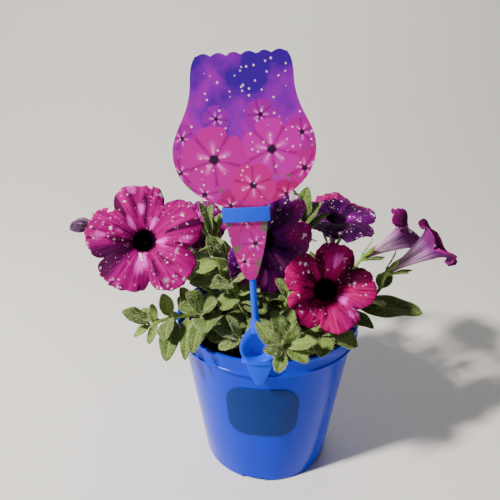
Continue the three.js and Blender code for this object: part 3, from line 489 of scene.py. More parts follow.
# ---- the plant label --------------------------------------------------------------------------
# A tag die-cut from printed plastic sheet, scalloped along its top, broad below it and drawn to a
# point through the clip's bar. It has a plain floral print of its own.
LABEL_TOP = 185.5  # in mm above the rim
BULGE = 136  # how high the label is broadest
NECK = 11.6  # half its width in the bar


def pulled(points, count):
    """Points along cubic pulls: after the first, each three entries are (pull, pull, end)."""
    made = [Vector(points[0])]
    for a, b, end in zip(points[1::3], points[2::3], points[3::3]):
        start = made[-1].copy()
        a, b, end = Vector(a), Vector(b), Vector(end)
        for i in range(1, count + 1):
            t = i / count
            s = 1 - t
            made.append(start * s ** 3 + a * 3 * s * s * t + b * 3 * s * t * t + end * t ** 3)
    return made


side = curve_through([(22.6, LABEL_TOP - 1), (25.6, LABEL_TOP - 4), (26.1, LABEL_TOP - 12)], 8)
side += pulled([
    (26.1, LABEL_TOP - 12), (27.1, BULGE + 19), (38.2, BULGE + 14), (38.2, BULGE),
    (38.2, BULGE - 16), (24, 110.8), (13.3, 107.2),
], 16)[1:]
side += [Vector((NECK, 106.4)), Vector((NECK, 96.6))]
side += curve_through([(NECK, 96.6), (NECK - 1, 82.6), (4.2, 64), (3, 61), (0.8, 61)], 10)[1:]
crown = []
for i in range(1, 60):
    x = -22.6 + 45.2 * i / 60
    crown.append(Vector((x, LABEL_TOP - 1.4 * (1 - abs(math.sin(math.pi * i / 10))))))
outline = crown + side + [Vector((-p.x, p.y)) for p in reversed(side)]
outline = [(p.x + 0.038 * max(0.0, p.y - 105.8), p.y) for p in outline]

card = bmesh.new()
corners = plate(card, outline, 0.6, Matrix())
faces_out(card)
drawn_on = card.loops.layers.uv.new("print")
for face in card.faces:
    for loop in face.loops:
        loop[drawn_on].uv = (loop.vert.co.x * 10, loop.vert.co.z * 10)
bmesh.ops.transform(
    card, matrix=CLIP_PLACE @ Matrix.Translation((-1.2 * MM, -3 * MM, 0)), verts=card.verts,
)

# Offset print on white polypropylene sheet under a clear gloss varnish: flat bright inks, a violet
# sky over a bed of round flowers with dark eyes, and white card at the cut edge.
flower_print = tree = bpy.data.node_groups.new("printed flower", "ShaderNodeTree")
for name, kind in [("Vector", "Vector"), ("Under", "Color"), ("Centre", "Vector"), ("Radius", "Float"),
                   ("Turn", "Float"), ("Petal", "Color")]:
    flower_print.interface.new_socket(name, in_out="INPUT", socket_type="NodeSocket" + kind)
flower_print.interface.new_socket("Print", in_out="OUTPUT", socket_type="NodeSocketColor")
given = wire(tree, "NodeGroupInput")
between = {0: given.outputs["Vector"], 1: given.outputs["Centre"]}
from_centre = wire(tree, "ShaderNodeVectorMath", between, operation="SUBTRACT").outputs[0]
parts = wire(tree, "ShaderNodeSeparateXYZ", {0: from_centre})
away = wire(tree, "ShaderNodeVectorMath", {0: from_centre}, operation="LENGTH")
share = work_out(tree, "DIVIDE", away.outputs["Value"], given.outputs["Radius"])
angle = work_out(tree, "ARCTAN2", parts.outputs["Y"], parts.outputs["X"])
turned = work_out(tree, "ADD", angle, given.outputs["Turn"])
five = work_out(tree, "MULTIPLY", turned, 2.5)
lobe = work_out(tree, "COSINE", five)
lobe_size = work_out(tree, "ABSOLUTE", lobe)
reach = rescaled(tree, lobe_size, 0, 0.5, 0.8, 1)
inside = work_out(tree, "LESS_THAN", share, reach)
valley = rescaled(tree, lobe_size, 0, 0.3, 0.55, 0)
ray_wide = work_out(tree, "POWER", lobe_size, 9)
ray_fade = rescaled(tree, share, 0.2, 0.6, 0.9, 0)
ray = work_out(tree, "MULTIPLY", ray_wide, ray_fade)
petal_shade = blend(tree, valley, given.outputs["Petal"], "#500038")
petal_ray = blend(tree, ray, petal_shade, "#F27ADC")
eye = rescaled(tree, share, 0.12, 0.2, 1, 0)
petal_eye = blend(tree, eye, petal_ray, "#2A0A2C")
laid = blend(tree, inside, given.outputs["Under"], petal_eye)
wire(tree, "NodeGroupOutput", {"Print": laid})

printed_card, tree = new_finish("printed plastic card")
flat = wire(tree, "ShaderNodeUVMap", uv_map="print").outputs[0]
height = wire(tree, "ShaderNodeSeparateXYZ", {0: flat}).outputs["Y"]
haze = mottle(tree, flat, 4.5, 6)
cloudy = work_out(tree, "MULTIPLY_ADD", haze, 1.5, height)
sky = rescaled(tree, cloudy, 1.9, 2.56)
ground = ramp(tree, sky, (0, "#980078"), (0.34, "#A4009C"), (0.66, "#7600A4"), (1, "#360088"))
leaf_blots = mottle(tree, flat, 9)
low_only = rescaled(tree, height, 1.30, 1.42, 1, 0)
blot = rescaled(tree, leaf_blots, 0.48, 0.56)
blot_low = work_out(tree, "MULTIPLY", blot, low_only)
ink = blend(tree, blot_low, ground, "#4A5E44")
PRINTED = [  # centre x, z and radius in mm of each printed flower, and its ink
    (-34, 127, 9, "#980080"), (-31, 145, 8, "#900090"), (32, 145, 8.5, "#9A008A"), (-12, 154, 7, "#80009A"),
    (33, 126, 10, "#A40080"), (23, 112, 8.5, "#9C0064"), (-22, 114, 9.5, "#A4008A"), (-8, 107, 8, "#980068"),
    (11, 155, 8, "#8C0092"), (6, 108, 8, "#A00080"), (16, 137, 16, "#AE0098"), (-15, 133, 17.5, "#AA008C"),
    (5, 118, 12.5, "#B0007C"), (0, 98, 9, "#A00074"), (4, 84, 9, "#A00084"), (-3, 73, 8, "#A8007C"),
]
lots = drawing_lots(61)
for x, z, radius, tone in PRINTED:
    ink = wire(tree, "ShaderNodeGroup", {
        "Vector": flat, "Under": ink, "Centre": (x / 100, z / 100, 0), "Radius": radius / 100,
        "Turn": FULL_TURN * lots(), "Petal": tone,
    }, node_tree=flower_print).outputs[0]
specks = wire(tree, "ShaderNodeTexVoronoi", {"Vector": flat, "Scale": 32})
speck = rescaled(tree, specks.outputs["Distance"], 0.14, 0.24, 0.75, 0)
few = wire(tree, "ShaderNodeSeparateXYZ", {0: specks.outputs["Color"]}).outputs["X"]
chosen = work_out(tree, "GREATER_THAN", few, 0.62)
sparse = work_out(tree, "MULTIPLY", speck, chosen)
starry = blend(tree, sparse, ink, "#F2CDEA")
surface(tree, starry, 0.34, Specular_IOR_Level=0.16)

# The sheet's cut edge shows its white core.
white_edge, tree = new_finish("white plastic sheet, cut edge")
grain = mottle(tree, None, 700)
edge_tone = blend(tree, grain, "#F0E6EE", "#FFFFFF")
surface(tree, edge_tone, 0.5)

card.normal_update()
for face in card.faces:
    face.material_index = 0 if len(face.verts) > 8 else 1
label = make_object("printed_plant_label", card, [printed_card, white_edge], smooth=False)
seat(label, "label_card", "plant_label")

# ---- how the plant grows ----------------------------------------------------------------------
# Twenty leafy shoots rise out of the mix. Each row gives the shoot's foot, the two points that pull
# it into its curve and its tip in mm, then how many leaves it grows, the longest, from where on, and
# how broad they are. The same rule and draws place the leaves as in the solids, so the two agree.
SHOOTS = [
    ("left_trail", (-31, -13), (-35, -17, 136), (-62, -38, 142), (-82, -44, 135), 8, 22, 0.25, 0.6),
    ("left_front", (-26, -26), (-28, -28, 130), (-38, -36, 148), (-46, -45, 143), 8, 27, 0.3, 0.66),
    ("bloom_left", (-19, -3), (-22, -4, 138), (-58, -6, 146), (-84, 4, 166), 8, 27, 0.25, 0.58),
    ("mid_left", (-20, -18), (-20, -19, 140), (-30, -26, 150), (-34, -30, 178), 10, 28, 0.25, 0.56),
    ("tip_left", (-10, -10), (-10, -10, 145), (-32, -12, 150), (-41, -13, 190), 11, 27, 0.2, 0.5),
    ("back_left", (-12, 12), (-14, 14, 145), (-42, 24, 140), (-57, 33, 150), 6, 26, 0.3, 0.58),
    ("centre", (3, -6), (3, -6, 138), (-1, 8, 142), (-6, 18, 168), 7, 27, 0.25, 0.55),
    ("tip_right", (11, 6), (11, 6, 145), (24, 8, 165), (25, 19, 192), 11, 25, 0.2, 0.48),
    ("front_right", (19, -15), (20, -16, 128), (34, -2, 122), (37, 4, 137), 7, 27, 0.25, 0.6),
    ("rosette", (8, -29), (8, -31, 124), (11.5, -58, 148), (10.5, -76, 138), 6, 24, 0.4, 0.54),
    ("inner_left", (-13, -21), (-13, -22, 140), (-22, -34, 146), (-24, -38, 166), 9, 24, 0.25, 0.52),
    ("inner_right", (7, -17), (7, -18, 132), (12, -32, 140), (15, -36, 158), 8, 24, 0.3, 0.54),
    ("front_left", (-9, -33), (-9, -35, 124), (-15, -46, 134), (-20, -57, 130), 9, 18, 0.2, 0.4),
    ("right", (31, -5), (33, -6, 134), (60, -14, 118), (82, -11, 150), 6, 28, 0.3, 0.62),
    ("right_back", (26, 8), (28, 9, 138), (50, 11, 138), (62, 9, 152), 7, 27, 0.3, 0.58),
    ("back_right", (20, 22), (22, 24, 134), (42, 42, 124), (51, 50, 140), 6, 28, 0.3, 0.6),
    ("back", (-2, 24), (-2, 26, 142), (2, 30, 148), (4, 38, 164), 5, 28, 0.25, 0.58),
    ("back_low_left", (-24, 22), (-26, 25, 130), (-38, 31, 120), (-46, 37, 128), 6, 27, 0.3, 0.6),
    ("back_low", (10, 37), (12, 40, 132), (24, 56, 150), (28, 76, 134), 6, 27, 0.3, 0.6),
    ("right_low", (29, -24), (30, -26, 126), (32, -38, 134), (38, -47, 132), 6, 25, 0.25, 0.64),
]
# The leaves that stand out on each shoot: how far along it, tip and width in mm, and the way the upper
# face looks where that isn't the usual one.
PLACED = {
    "left_trail": [
        (0.98, (-99, -46, 147), 12), (0.97, (-91, -51, 130), 6.5), (0.9, (-81, -52, 125), 6.5),
        (0.94, (-80, -38, 149), 6.5), (0.72, (-68, -60, 117), 14), (0.6, (-54, -64, 121), 9),
        (0.78, (-73, -34, 155), 10), (0.55, (-61, -30, 158), 12),
    ],
    "left_front": [(0.86, (-55, -44, 161), 15), (0.98, (-33, -50, 158), 15), (0.94, (-48, -70, 131), 10)],
    "rosette": [
        (0.97, (-6.8, -80, 162), 9, (-0.3, -1, 0.35)), (0.99, (-2.3, -84.5, 145), 7, (0, -0.8, 0.6)),
        (0.95, (31, -76, 146), 11), (0.9, (18, -74, 157), 8, (0.5, -1, 0.5)), (0.84, (3, -62, 159), 10),
        (0.8, (15, -56, 158), 11),
    ],
    "right_low": [(0.96, (35, -69, 130), 15), (0.8, (62, -48, 125), 17)],
    "mid_left": [(0.96, (-50, -32, 172), 13), (0.9, (-35, -41, 186), 11), (0.98, (-41, -30, 197), 11)],
    "inner_left": [(0.95, (-36, -48, 170), 13), (0.98, (-14, -46, 175), 11), (0.8, (-30, -52, 153), 13)],
    "front_left": [(0.95, (-36, -56, 142), 7), (0.85, (-27, -53, 150), 7), (0.97, (-31, -66, 132), 8)],
    "tip_left": [
        (0.98, (-38, -20, 216), 8), (0.96, (-31, -12, 207), 9), (0.92, (-47, -20, 217), 10),
        (0.72, (-33, -2, 183), 10),
    ],
    "bloom_left": [(0.62, (-51, -14, 169), 13), (0.5, (-43, -13, 162), 12)],
    "back_left": [(0.75, (-40, 6, 168), 13)],
    "tip_right": [
        (0.98, (28, 15, 219), 13), (0.95, (17, 11, 218), 8), (0.9, (39, 15, 208), 11),
        (0.86, (46, 19, 198), 7),
    ],
    "right": [(0.72, (112, -21, 136), 21), (0.66, (82, 2, 147), 15), (0.6, (76, -30, 128), 12)],
}
TUBE = 28.0  # a flower's tube, in mm
LIP = 3.0  # how far its lobes roll back
# Name, shoot, centre of the mouth, the way it faces, radius of the limb, how cupped, turn, seed.
FLOWERS = [
    ("left", "bloom_left", (-84, -30, 194), (0.17, -0.8, 0.57), 39, 9, 22, 21),
    ("left_back", "back_left", (-59, 15, 189), (0.05, -0.5, 0.86), 27.5, 9, 50, 22),
    ("centre", "centre", (2, -14, 185), (0.6, -0.8, 0.02), 37, 11, 60, 23),
    ("front_right", "front_right", (39.5, -45, 166), (0.05, -0.86, 0.48), 30, 14, 75, 24),
    ("back_right", "back_right", (55, 44, 188), (0.05, -0.28, 0.96), 34, 7, 10, 25),
    ("right_upper", "right_back", (104, 9, 186), (0.8, -0.14, 0.58), 23, 11, 30, 26),
    ("right_lower", "right", (111, -28, 194), (0.72, -0.2, 0.68), 18.5, 11, 65, 27),
    ("rear_left", "back_low_left", (-75, 60, 152), (-0.65, 0.62, 0.44), 37, 9, 15, 28),
    ("rear", "back", (-6, 78, 186), (0.1, 0.84, 0.52), 38, 9, 40, 29),
]
BUD_TIP = (-137, -22, 204)
BUD_FACES = (-0.9, -0.25, 0.3)
BUD_LENGTH = 25
UP = np.array([0.0, 0.0, 1.0])


def mixed(a, b, t):
    return a + (b - a) * t


def unit(v):
    return v / np.linalg.norm(v)


def along_curve(line, t):
    a, b, c, d = line
    s = 1 - t
    return a * (s * s * s) + b * (3 * s * s * t) + c * (3 * s * t * t) + d * (t * t * t)


def heading(line, t):
    return unit(along_curve(line, min(1.0, t + 0.01)) - along_curve(line, max(0.0, t - 0.01)))


def square_to(along):
    """Two directions square to a heading, the first one level."""
    level = np.cross(UP, along)
    if np.linalg.norm(level) < 0.05:
        level = np.array([1.0, 0.0, 0.0])
    level = unit(level)
    return level, unit(np.cross(along, level))


def flower_seat(tip, faces, depth):
    """Axis, two directions square to it, and the foot of a flower whose mouth is given."""
    axis = unit(np.array(faces, float))
    u, v = square_to(axis)
    return axis, u, v, np.array(tip, float) - axis * depth


def stalk_line(line, place):
    axis, _, _, foot = place
    start = along_curve(line, 0.97)
    gap = np.linalg.norm(foot - start)
    end = foot - axis * 0.3
    return [start, start + heading(line, 0.97) * gap * 0.35, end - axis * gap * 0.35, end]


def leaf_half(leaf, s):
    """Half the width along a leaf: a short stalk, broadest before the middle, drawn to a point."""
    u = np.maximum(0, (s - 0.14) / 0.86)
    body = np.maximum(0, np.sin(np.pi * u ** 0.85)) ** 0.62
    return np.maximum(0.9 * (1 - s), leaf["width"] / 2 * body)


def leaf_points(leaf, s, v, more=0.0):
    """Points on a leaf: s from its foot to its tip, v from edge to edge, more raises them."""
    turn = leaf["droop"] * s
    bend = max(leaf["droop"], 1e-3)
    centre = leaf["base"] + np.outer(leaf["length"] * np.sin(bend * s) / bend, leaf["out"]) \
        - np.outer(leaf["length"] * (1 - np.cos(bend * s)) / bend, leaf["up"])
    up = np.outer(np.cos(turn), leaf["up"]) + np.outer(np.sin(turn), leaf["out"])
    across = unit(np.cross(leaf["out"], leaf["up"]))
    half = leaf_half(leaf, s)
    wave = leaf["wave"] * np.sin(leaf["phase"] + 9 * s + 1.3 * v)
    lift = np.abs(v) * half * (leaf["fold"] + wave) + more
    return centre + np.outer(v * half, across) + up * lift[:, None]


CLOUD_S = np.repeat(np.arange(1, 11) / 10, 5)
CLOUD_V = np.tile([-1, -0.5, 0, 0.5, 1], 10)


def leaf_cloud(leaf):
    return leaf_points(leaf, CLOUD_S, CLOUD_V)


def sepal(place, k):
    axis, u, v, foot = place
    side = u * math.cos(2 * math.pi * k / 5) + v * math.sin(2 * math.pi * k / 5)
    out = axis * math.cos(0.3) + side * math.sin(0.3)
    return {
        "base": foot + side * 2.6 - axis * 2.2, "out": out, "up": unit(-side + out * np.dot(side, out)),
        "length": 15, "width": 3.4, "droop": 0.35, "fold": 0.1, "wave": 0, "phase": 0,
    }


def flower_draws(seed):
    """How far each of a flower's five lobes tilts, reaches and folds."""
    draw = drawing_lots(seed)
    return [[spread * (2 * draw() - 1) for _ in range(5)] for spread in (4, 0.05, 1.2)]


def flower_points(row, angles, t, soft=False):
    """Points on a flower: angles round its axis, t from its foot to its edge."""
    _, _, mouth, faces, radius, cupped, turn, seed = row
    tilts, reaches, folds = [np.array(d) for d in flower_draws(seed)]
    axis, u, v, foot = flower_seat(mouth, faces, TUBE + cupped - LIP)
    lobe = np.floor(angles / (0.4 * np.pi) + 0.5)
    w = 2 * (angles - lobe * 0.4 * np.pi) / (0.4 * np.pi)
    k = lobe.astype(int) % 5
    s = np.where(t <= 0.5, 2 * t, 2 * t - 1)
    reach = radius * (1 + reaches[k] * (1 - w * w)) * (1 - 0.17 * np.abs(w) ** 3)
    fold = 2.2 + folds[k]
    if soft:
        beside = folds[(k + np.sign(w).astype(int)) % 5]
        fold = 2.2 + mixed(folds[k], (folds[k] + beside) / 2, w ** 4)
    height = TUBE + cupped * (1 - (1 - s) ** 2.2) - 3 * s ** 3
    height = height + fold * np.cos(np.pi * w) * s * s + tilts[k] * (1 - w * w) * s * s
    out = np.where(t <= 0.5, 1.7 + 6.3 * s ** 1.5, mixed(8.0, reach, s ** 1.2))
    height = np.where(t <= 0.5, TUBE * s, height)
    a = angles + math.radians(turn)
    return foot + np.outer(height, axis) + np.outer(out * np.cos(a), u) + np.outer(out * np.sin(a), v)


lines = {}
for name, foot, pull, second, tip, *_ in SHOOTS:
    lines[name] = [np.array(p, float) for p in ((*foot, 111.5), pull, second, tip)]

# What the leaves keep clear of: each point, how far off in mm, how far off for the outer part of a leaf
# of the same shoot, and whose point it is.
kept_at = []
kept_reach = []
kept_own = []
kept_owner = []


def keep_clear(points, reach, owner, own=0.0):
    for point in points:
        kept_at.append(point)
        kept_reach.append(reach)
        kept_owner.append(owner)
        kept_own.append(own)


def from_to(low, high, step):
    at = low
    while at <= high:
        yield at
        at += step


def on_clip(x, y, z):
    c, s = math.cos(CLIP_LEAN), math.sin(CLIP_LEAN)
    return np.array([-4.8 + x * c - z * s, -70 + y, 125.3 + x * s + z * c])


for z in from_to(59, 185.5, 4):
    half = 12 if z < 97.6 else 14 if z < 107.8 else 38.2
    for x in from_to(-half, half, 4):
        keep_clear([on_clip(x - 1.2, -2.4, z)], 3.4, "label")
for z in from_to(0, 102, 3):
    keep_clear([on_clip(-0.4, 0, z)], 4.2, "clip")
for z in from_to(0, 30, 3):
    for x in from_to(-12, 12, 3):
        keep_clear([on_clip(x, -1, z), on_clip(x, 3, z)], 3.2, "clip")
for z in from_to(-11, -1, 3):
    for x in from_to(-8, 8, 3):
        keep_clear([on_clip(x, 7.7, z), on_clip(x, -1, z - 4)], 3.2, "clip")
for name, line in lines.items():
    keep_clear([along_curve(line, i / 24) for i in range(25)], 3.6, name)


def keep_flower(owner, place):
    line = stalk_line(lines[owner], place)
    keep_clear([along_curve(line, i / 12) for i in range(13)], 3.6, owner)
    for k in range(5):
        keep_clear(leaf_cloud(sepal(place, k))[2::5], 2.8, owner)


seats = {}
for row in FLOWERS:
    seats[row[0]] = flower_seat(row[2], row[3], TUBE + row[5] - LIP)
    keep_flower(row[1], seats[row[0]])
    for i in range(17):
        count = 60 if 2 * i > 16 else 6
        round_it = 2 * np.pi * np.arange(count) / count
        keep_clear(flower_points(row, round_it, np.full(count, i / 16)), 3.7, "bloom_" + row[0])
seats["withered"] = flower_seat(BUD_TIP, BUD_FACES, BUD_LENGTH)
keep_flower("bloom_left", seats["withered"])


def placed_leaf(base, i, tip, width, facing=(0, -0.35, 1)):
    chord = np.array(tip, float) - base
    straight = unit(chord)
    up = np.array(facing, float)
    up = unit(up - straight * np.dot(up, straight))
    c, s = math.cos(0.35), math.sin(0.35)
    return {
        "base": base, "out": straight * c + up * s, "up": up * c - straight * s,
        "length": np.linalg.norm(chord) * 0.35 / s, "width": width, "droop": 0.7, "fold": 0.22,
        "wave": 0.14, "phase": 2.1 * i,
    }


def keep_leaf(leaf, owner):
    keep_clear(leaf_cloud(leaf)[:15], 2.5, owner)
    keep_clear(leaf_cloud(leaf)[15:], 2.5, owner, 1.9)


leaves = {}
for name, line in lines.items():
    own = enumerate(PLACED.get(name, []))
    leaves[name] = [placed_leaf(along_curve(line, t), i, *rest) for i, (t, *rest) in own]
    for leaf in leaves[name]:
        keep_leaf(leaf, name)


def is_clear(points, owner):
    far = np.hypot(points[:, 0], points[:, 1])
    soil = inner_radius(SOIL_TOP) / MM
    if np.any((points[:, 2] < 111.2) & (far < soil)):
        return False
    if np.any((far > soil - 2.5) & (far < 72.5) & (points[:, 2] < 127.5)):
        return False
    at = np.array(kept_at)
    near = np.linalg.norm(at - points[25], axis=1) < 30
    same = (np.array(kept_owner) == owner)[near]
    asked = np.tile(np.array(kept_reach)[near], (50, 1))
    asked[:15, same] = 0
    asked[15:, same] = np.array(kept_own)[near][same]
    gap = np.linalg.norm(points[:, None, :] - at[near][None, :, :], axis=2)
    return bool(np.all(gap >= asked))


# A leaf that has no room is swung aside, then raised too; one that finds none isn't grown.
SWINGS = [0, 0.5, -0.5, 1, -1, 1.6, -1.6, 2.3, -2.3]
RISES = [0, 0.45]
GOLDEN_TURN = 2.3998
for number, (name, *_, count, longest, first, broad) in enumerate(SHOOTS):
    draw = drawing_lots(100 + number)
    line = lines[name]
    for i in range(count):
        t = mixed(first, 0.98, i / (count - 1))
        along = heading(line, t)
        u, v = square_to(along)
        young = max(0.0, (t - 0.6) / 0.4)
        length = longest * mixed(1, 0.55, young ** 2) * mixed(0.88, 1.12, draw())
        spread = mixed(1.25, 0.5, young)
        start = i * GOLDEN_TURN + 0.6 * draw()
        width = length * broad * mixed(0.9, 1.1, draw())
        droop = mixed(1.1, 0.35, young) * mixed(0.7, 1.2, draw())
        phase = 2 * math.pi * draw()
        for raised, swing in [(r, s) for r in RISES for s in SWINGS]:
            side = u * math.cos(start + swing) + v * math.sin(start + swing)
            out = along * math.cos(spread) + side * math.sin(spread)
            out[2] = out[2] * 0.75 + 0.18 + raised
            out = unit(out)
            up = along * 0.5 + UP * 0.8
            up = unit(up - out * np.dot(up, out))
            leaf = {
                "base": along_curve(line, t) + out * 0.2, "out": out, "up": up, "length": length,
                "width": width, "droop": droop, "fold": mixed(0.12, 0.45, young), "wave": 0.14,
                "phase": phase,
            }
            if is_clear(leaf_cloud(leaf), name):
                keep_leaf(leaf, name)
                leaves[name].append(leaf)
                break

# ---- shoots and flower stalks -----------------------------------------------------------------
# Soft green stems, each a tapering round shoot rising out of the mix. The flowers stand on short
# stalks near the tips, each in a green calyx of five narrow sepals round its tube.
STEM_THICK = 2.0  # radius at the foot, in mm
STEM_THIN = 1.15  # radius at the tip
STALK_HAIRS = 70
SHOOT_HAIRS = 110
EDGE_HAIRS = 27
FACE_HAIRS = 90


def tube_through(shape, points, radii, sides):
    """A closed round tube through points in mm."""
    rings = []
    for i, (point, radius) in enumerate(zip(points, radii)):
        way = points[min(i + 1, len(points) - 1)] - points[max(i - 1, 0)]
        u, v = square_to(unit(way))
        turn = Matrix([list(u) + [0], list(v) + [0], list(unit(way)) + [0], [0, 0, 0, 1]]).transposed()
        put = Matrix.Translation(Vector(point) * MM) @ turn
        made = bmesh.ops.create_circle(shape, segments=sides, radius=radius * MM, matrix=put)
        rings.append(made["verts"])
    for one, other in zip(rings, rings[1:]):
        bridge(shape, one, other)
    for end in (rings[0], rings[-1]):
        bmesh.ops.contextual_create(shape, geom=end)


def add_to(shape, other):
    """Moves one shape's mesh into another, so that many small ones don't slow each other."""
    carried = bpy.data.meshes.new("carried")
    faces_out(other)
    other.to_mesh(carried)
    other.free()
    shape.from_mesh(carried)
    bpy.data.meshes.remove(carried)


def blade_of(leaf, across, along, tone, thick):
    """One leaf: a grid laid over its surface, puckered between its veins, then given a thickness."""
    blade = bmesh.new()
    blade.loops.layers.uv.new("veins")
    bmesh.ops.create_grid(blade, x_segments=across, y_segments=along, size=1.0, calc_uvs=True)
    tones = blade.verts.layers.float.new("tone")
    v = np.array([corner.co.x for corner in blade.verts])
    s = np.array([(corner.co.y + 1) / 2 for corner in blade.verts])
    half = leaf_half(leaf, s)
    size = min(1.0, leaf["width"] / 12)
    rib = -0.42 * np.exp(-(v / 0.12) ** 2) * np.sin(np.pi * s) ** 0.5
    pucker = 0.34 * np.cos(2 * np.pi * (6 * s - 1.7 * np.abs(v))) * (np.abs(v) * (1 - v * v)) * 2
    ruffle = 0.55 * v ** 4 * np.sin(17 * s + leaf["phase"] + 2 * v) * np.sin(np.pi * s)
    soft = (np.sqrt(v * v + 0.02) - 0.14 - np.abs(v)) * half * leaf["fold"]
    spots = leaf_points(leaf, s, v, (rib + pucker + ruffle) * size + soft)
    for corner, spot in zip(blade.verts, spots):
        corner.co = Vector(spot) * MM
        corner[tones] = tone
    bmesh.ops.remove_doubles(blade, verts=blade.verts, dist=1e-6)
    blade.normal_update()
    bmesh.ops.solidify(blade, geom=blade.faces, thickness=thick * MM)
    return blade


def hair_on(shape, root, way, length, thick):
    turn = Vector(way).to_track_quat("Z", "Y").to_matrix().to_4x4()
    put = Matrix.Translation((Vector(root) + Vector(way) * length / 2) * MM) @ turn
    bmesh.ops.create_cone(
        shape, cap_ends=True, segments=3, radius1=thick * MM, radius2=0, depth=length * MM, matrix=put,
    )


def hairs_along(curve, count, foot_radius, lean):
    """Short hairs all round a stem or a stalk."""
    hairs = bmesh.new()
    for _ in range(count):
        t = lots()
        turn = FULL_TURN * lots()
        along = heading(curve, t)
        u, v = square_to(along)
        side = u * math.cos(turn) + v * math.sin(turn)
        root = along_curve(curve, t) + side * mixed(foot_radius, 1.1, t)
        hair_on(hairs, root, unit(side + along * lean), 1.3, 0.08)
    return hairs


# Young petunia stem: sappy mid-green skin, matt from its short glandular hairs, a little red-brown
# where the sun has caught it.
green_stem, tree = new_finish("downy green stem")
place = object_place(tree)
patchy = mottle(tree, place, 90, 3)
down = mottle(tree, place, 1500)
stem_tone = ramp(tree, patchy, (0.3, "#6E6A30"), (0.45, "#72923A"), (0.7, "#93B84A"))
stem_down = relief(tree, down, 0.4, 0.0003)
surface(tree, stem_tone, 0.62, stem_down, Sheen_Weight=0.3, Sheen_Roughness=0.4, Sheen_Tint="#F2F7D8")


def from_mesh(tree, layer, output="Fac"):
    """What a layer of the mesh holds."""
    return wire(tree, "ShaderNodeAttribute", attribute_name=layer).outputs[output]


# Petunia leaf: thick soft blade, matt and downy, sunk paler veins, from yellow-green at the young
# tips to a deeper green below.
leaf_green, tree = new_finish("downy petunia leaf")
place = object_place(tree)
on_leaf = wire(tree, "ShaderNodeUVMap", uv_map="veins").outputs[0]
spot = wire(tree, "ShaderNodeSeparateXYZ", {0: on_leaf})
centred = work_out(tree, "MULTIPLY_ADD", spot.outputs["X"], 2, -1)
off_rib = work_out(tree, "ABSOLUTE", centred)
rib = rescaled(tree, off_rib, 0.03, 0.13, 0.6, 0)
slanted = work_out(tree, "MULTIPLY", off_rib, -1.7)
wander = mottle(tree, place, 160)
wandered = work_out(tree, "MULTIPLY_ADD", wander, 0.35, slanted)
steps = work_out(tree, "MULTIPLY_ADD", spot.outputs["Y"], 6, wandered)
fold = work_out(tree, "PINGPONG", steps, 1)
side_vein = rescaled(tree, fold, 0.86, 1, 0, 0.35)
veined = work_out(tree, "MAXIMUM", rib, side_vein)
tone = from_mesh(tree, "tone")
blotch = mottle(tree, place, 120, 4)
shade = work_out(tree, "MULTIPLY_ADD", blotch, 0.5, tone)
greens = ramp(tree, shade, (0.15, "#263812"), (0.5, "#4C6828"), (1, "#90B24A"))
with_veins = blend(tree, veined, greens, "#8CAA50")
down = mottle(tree, place, 1700)
hairy = rescaled(tree, down, 0.52, 0.66, 0, 0.5)
downy = blend(tree, hairy, with_veins, "#C6D2A0")
sunk = work_out(tree, "MULTIPLY_ADD", veined, -1.2, down)
leaf_skin = relief(tree, sunk, 0.45, 0.0005)
surface(
    tree, downy, 0.66, leaf_skin, Specular_IOR_Level=0.16, Sheen_Weight=0.24, Sheen_Roughness=0.4,
    Sheen_Tint="#E6F2B8",
)

# The down itself: short clear glandular hairs that catch the light along every edge.
clear_hair, tree = new_finish("glandular hair")
place = object_place(tree)
glint = mottle(tree, place, 500)
hair_tone = blend(tree, glint, "#B9C98A", "#F1F5D6")
surface(tree, hair_tone, 0.4)

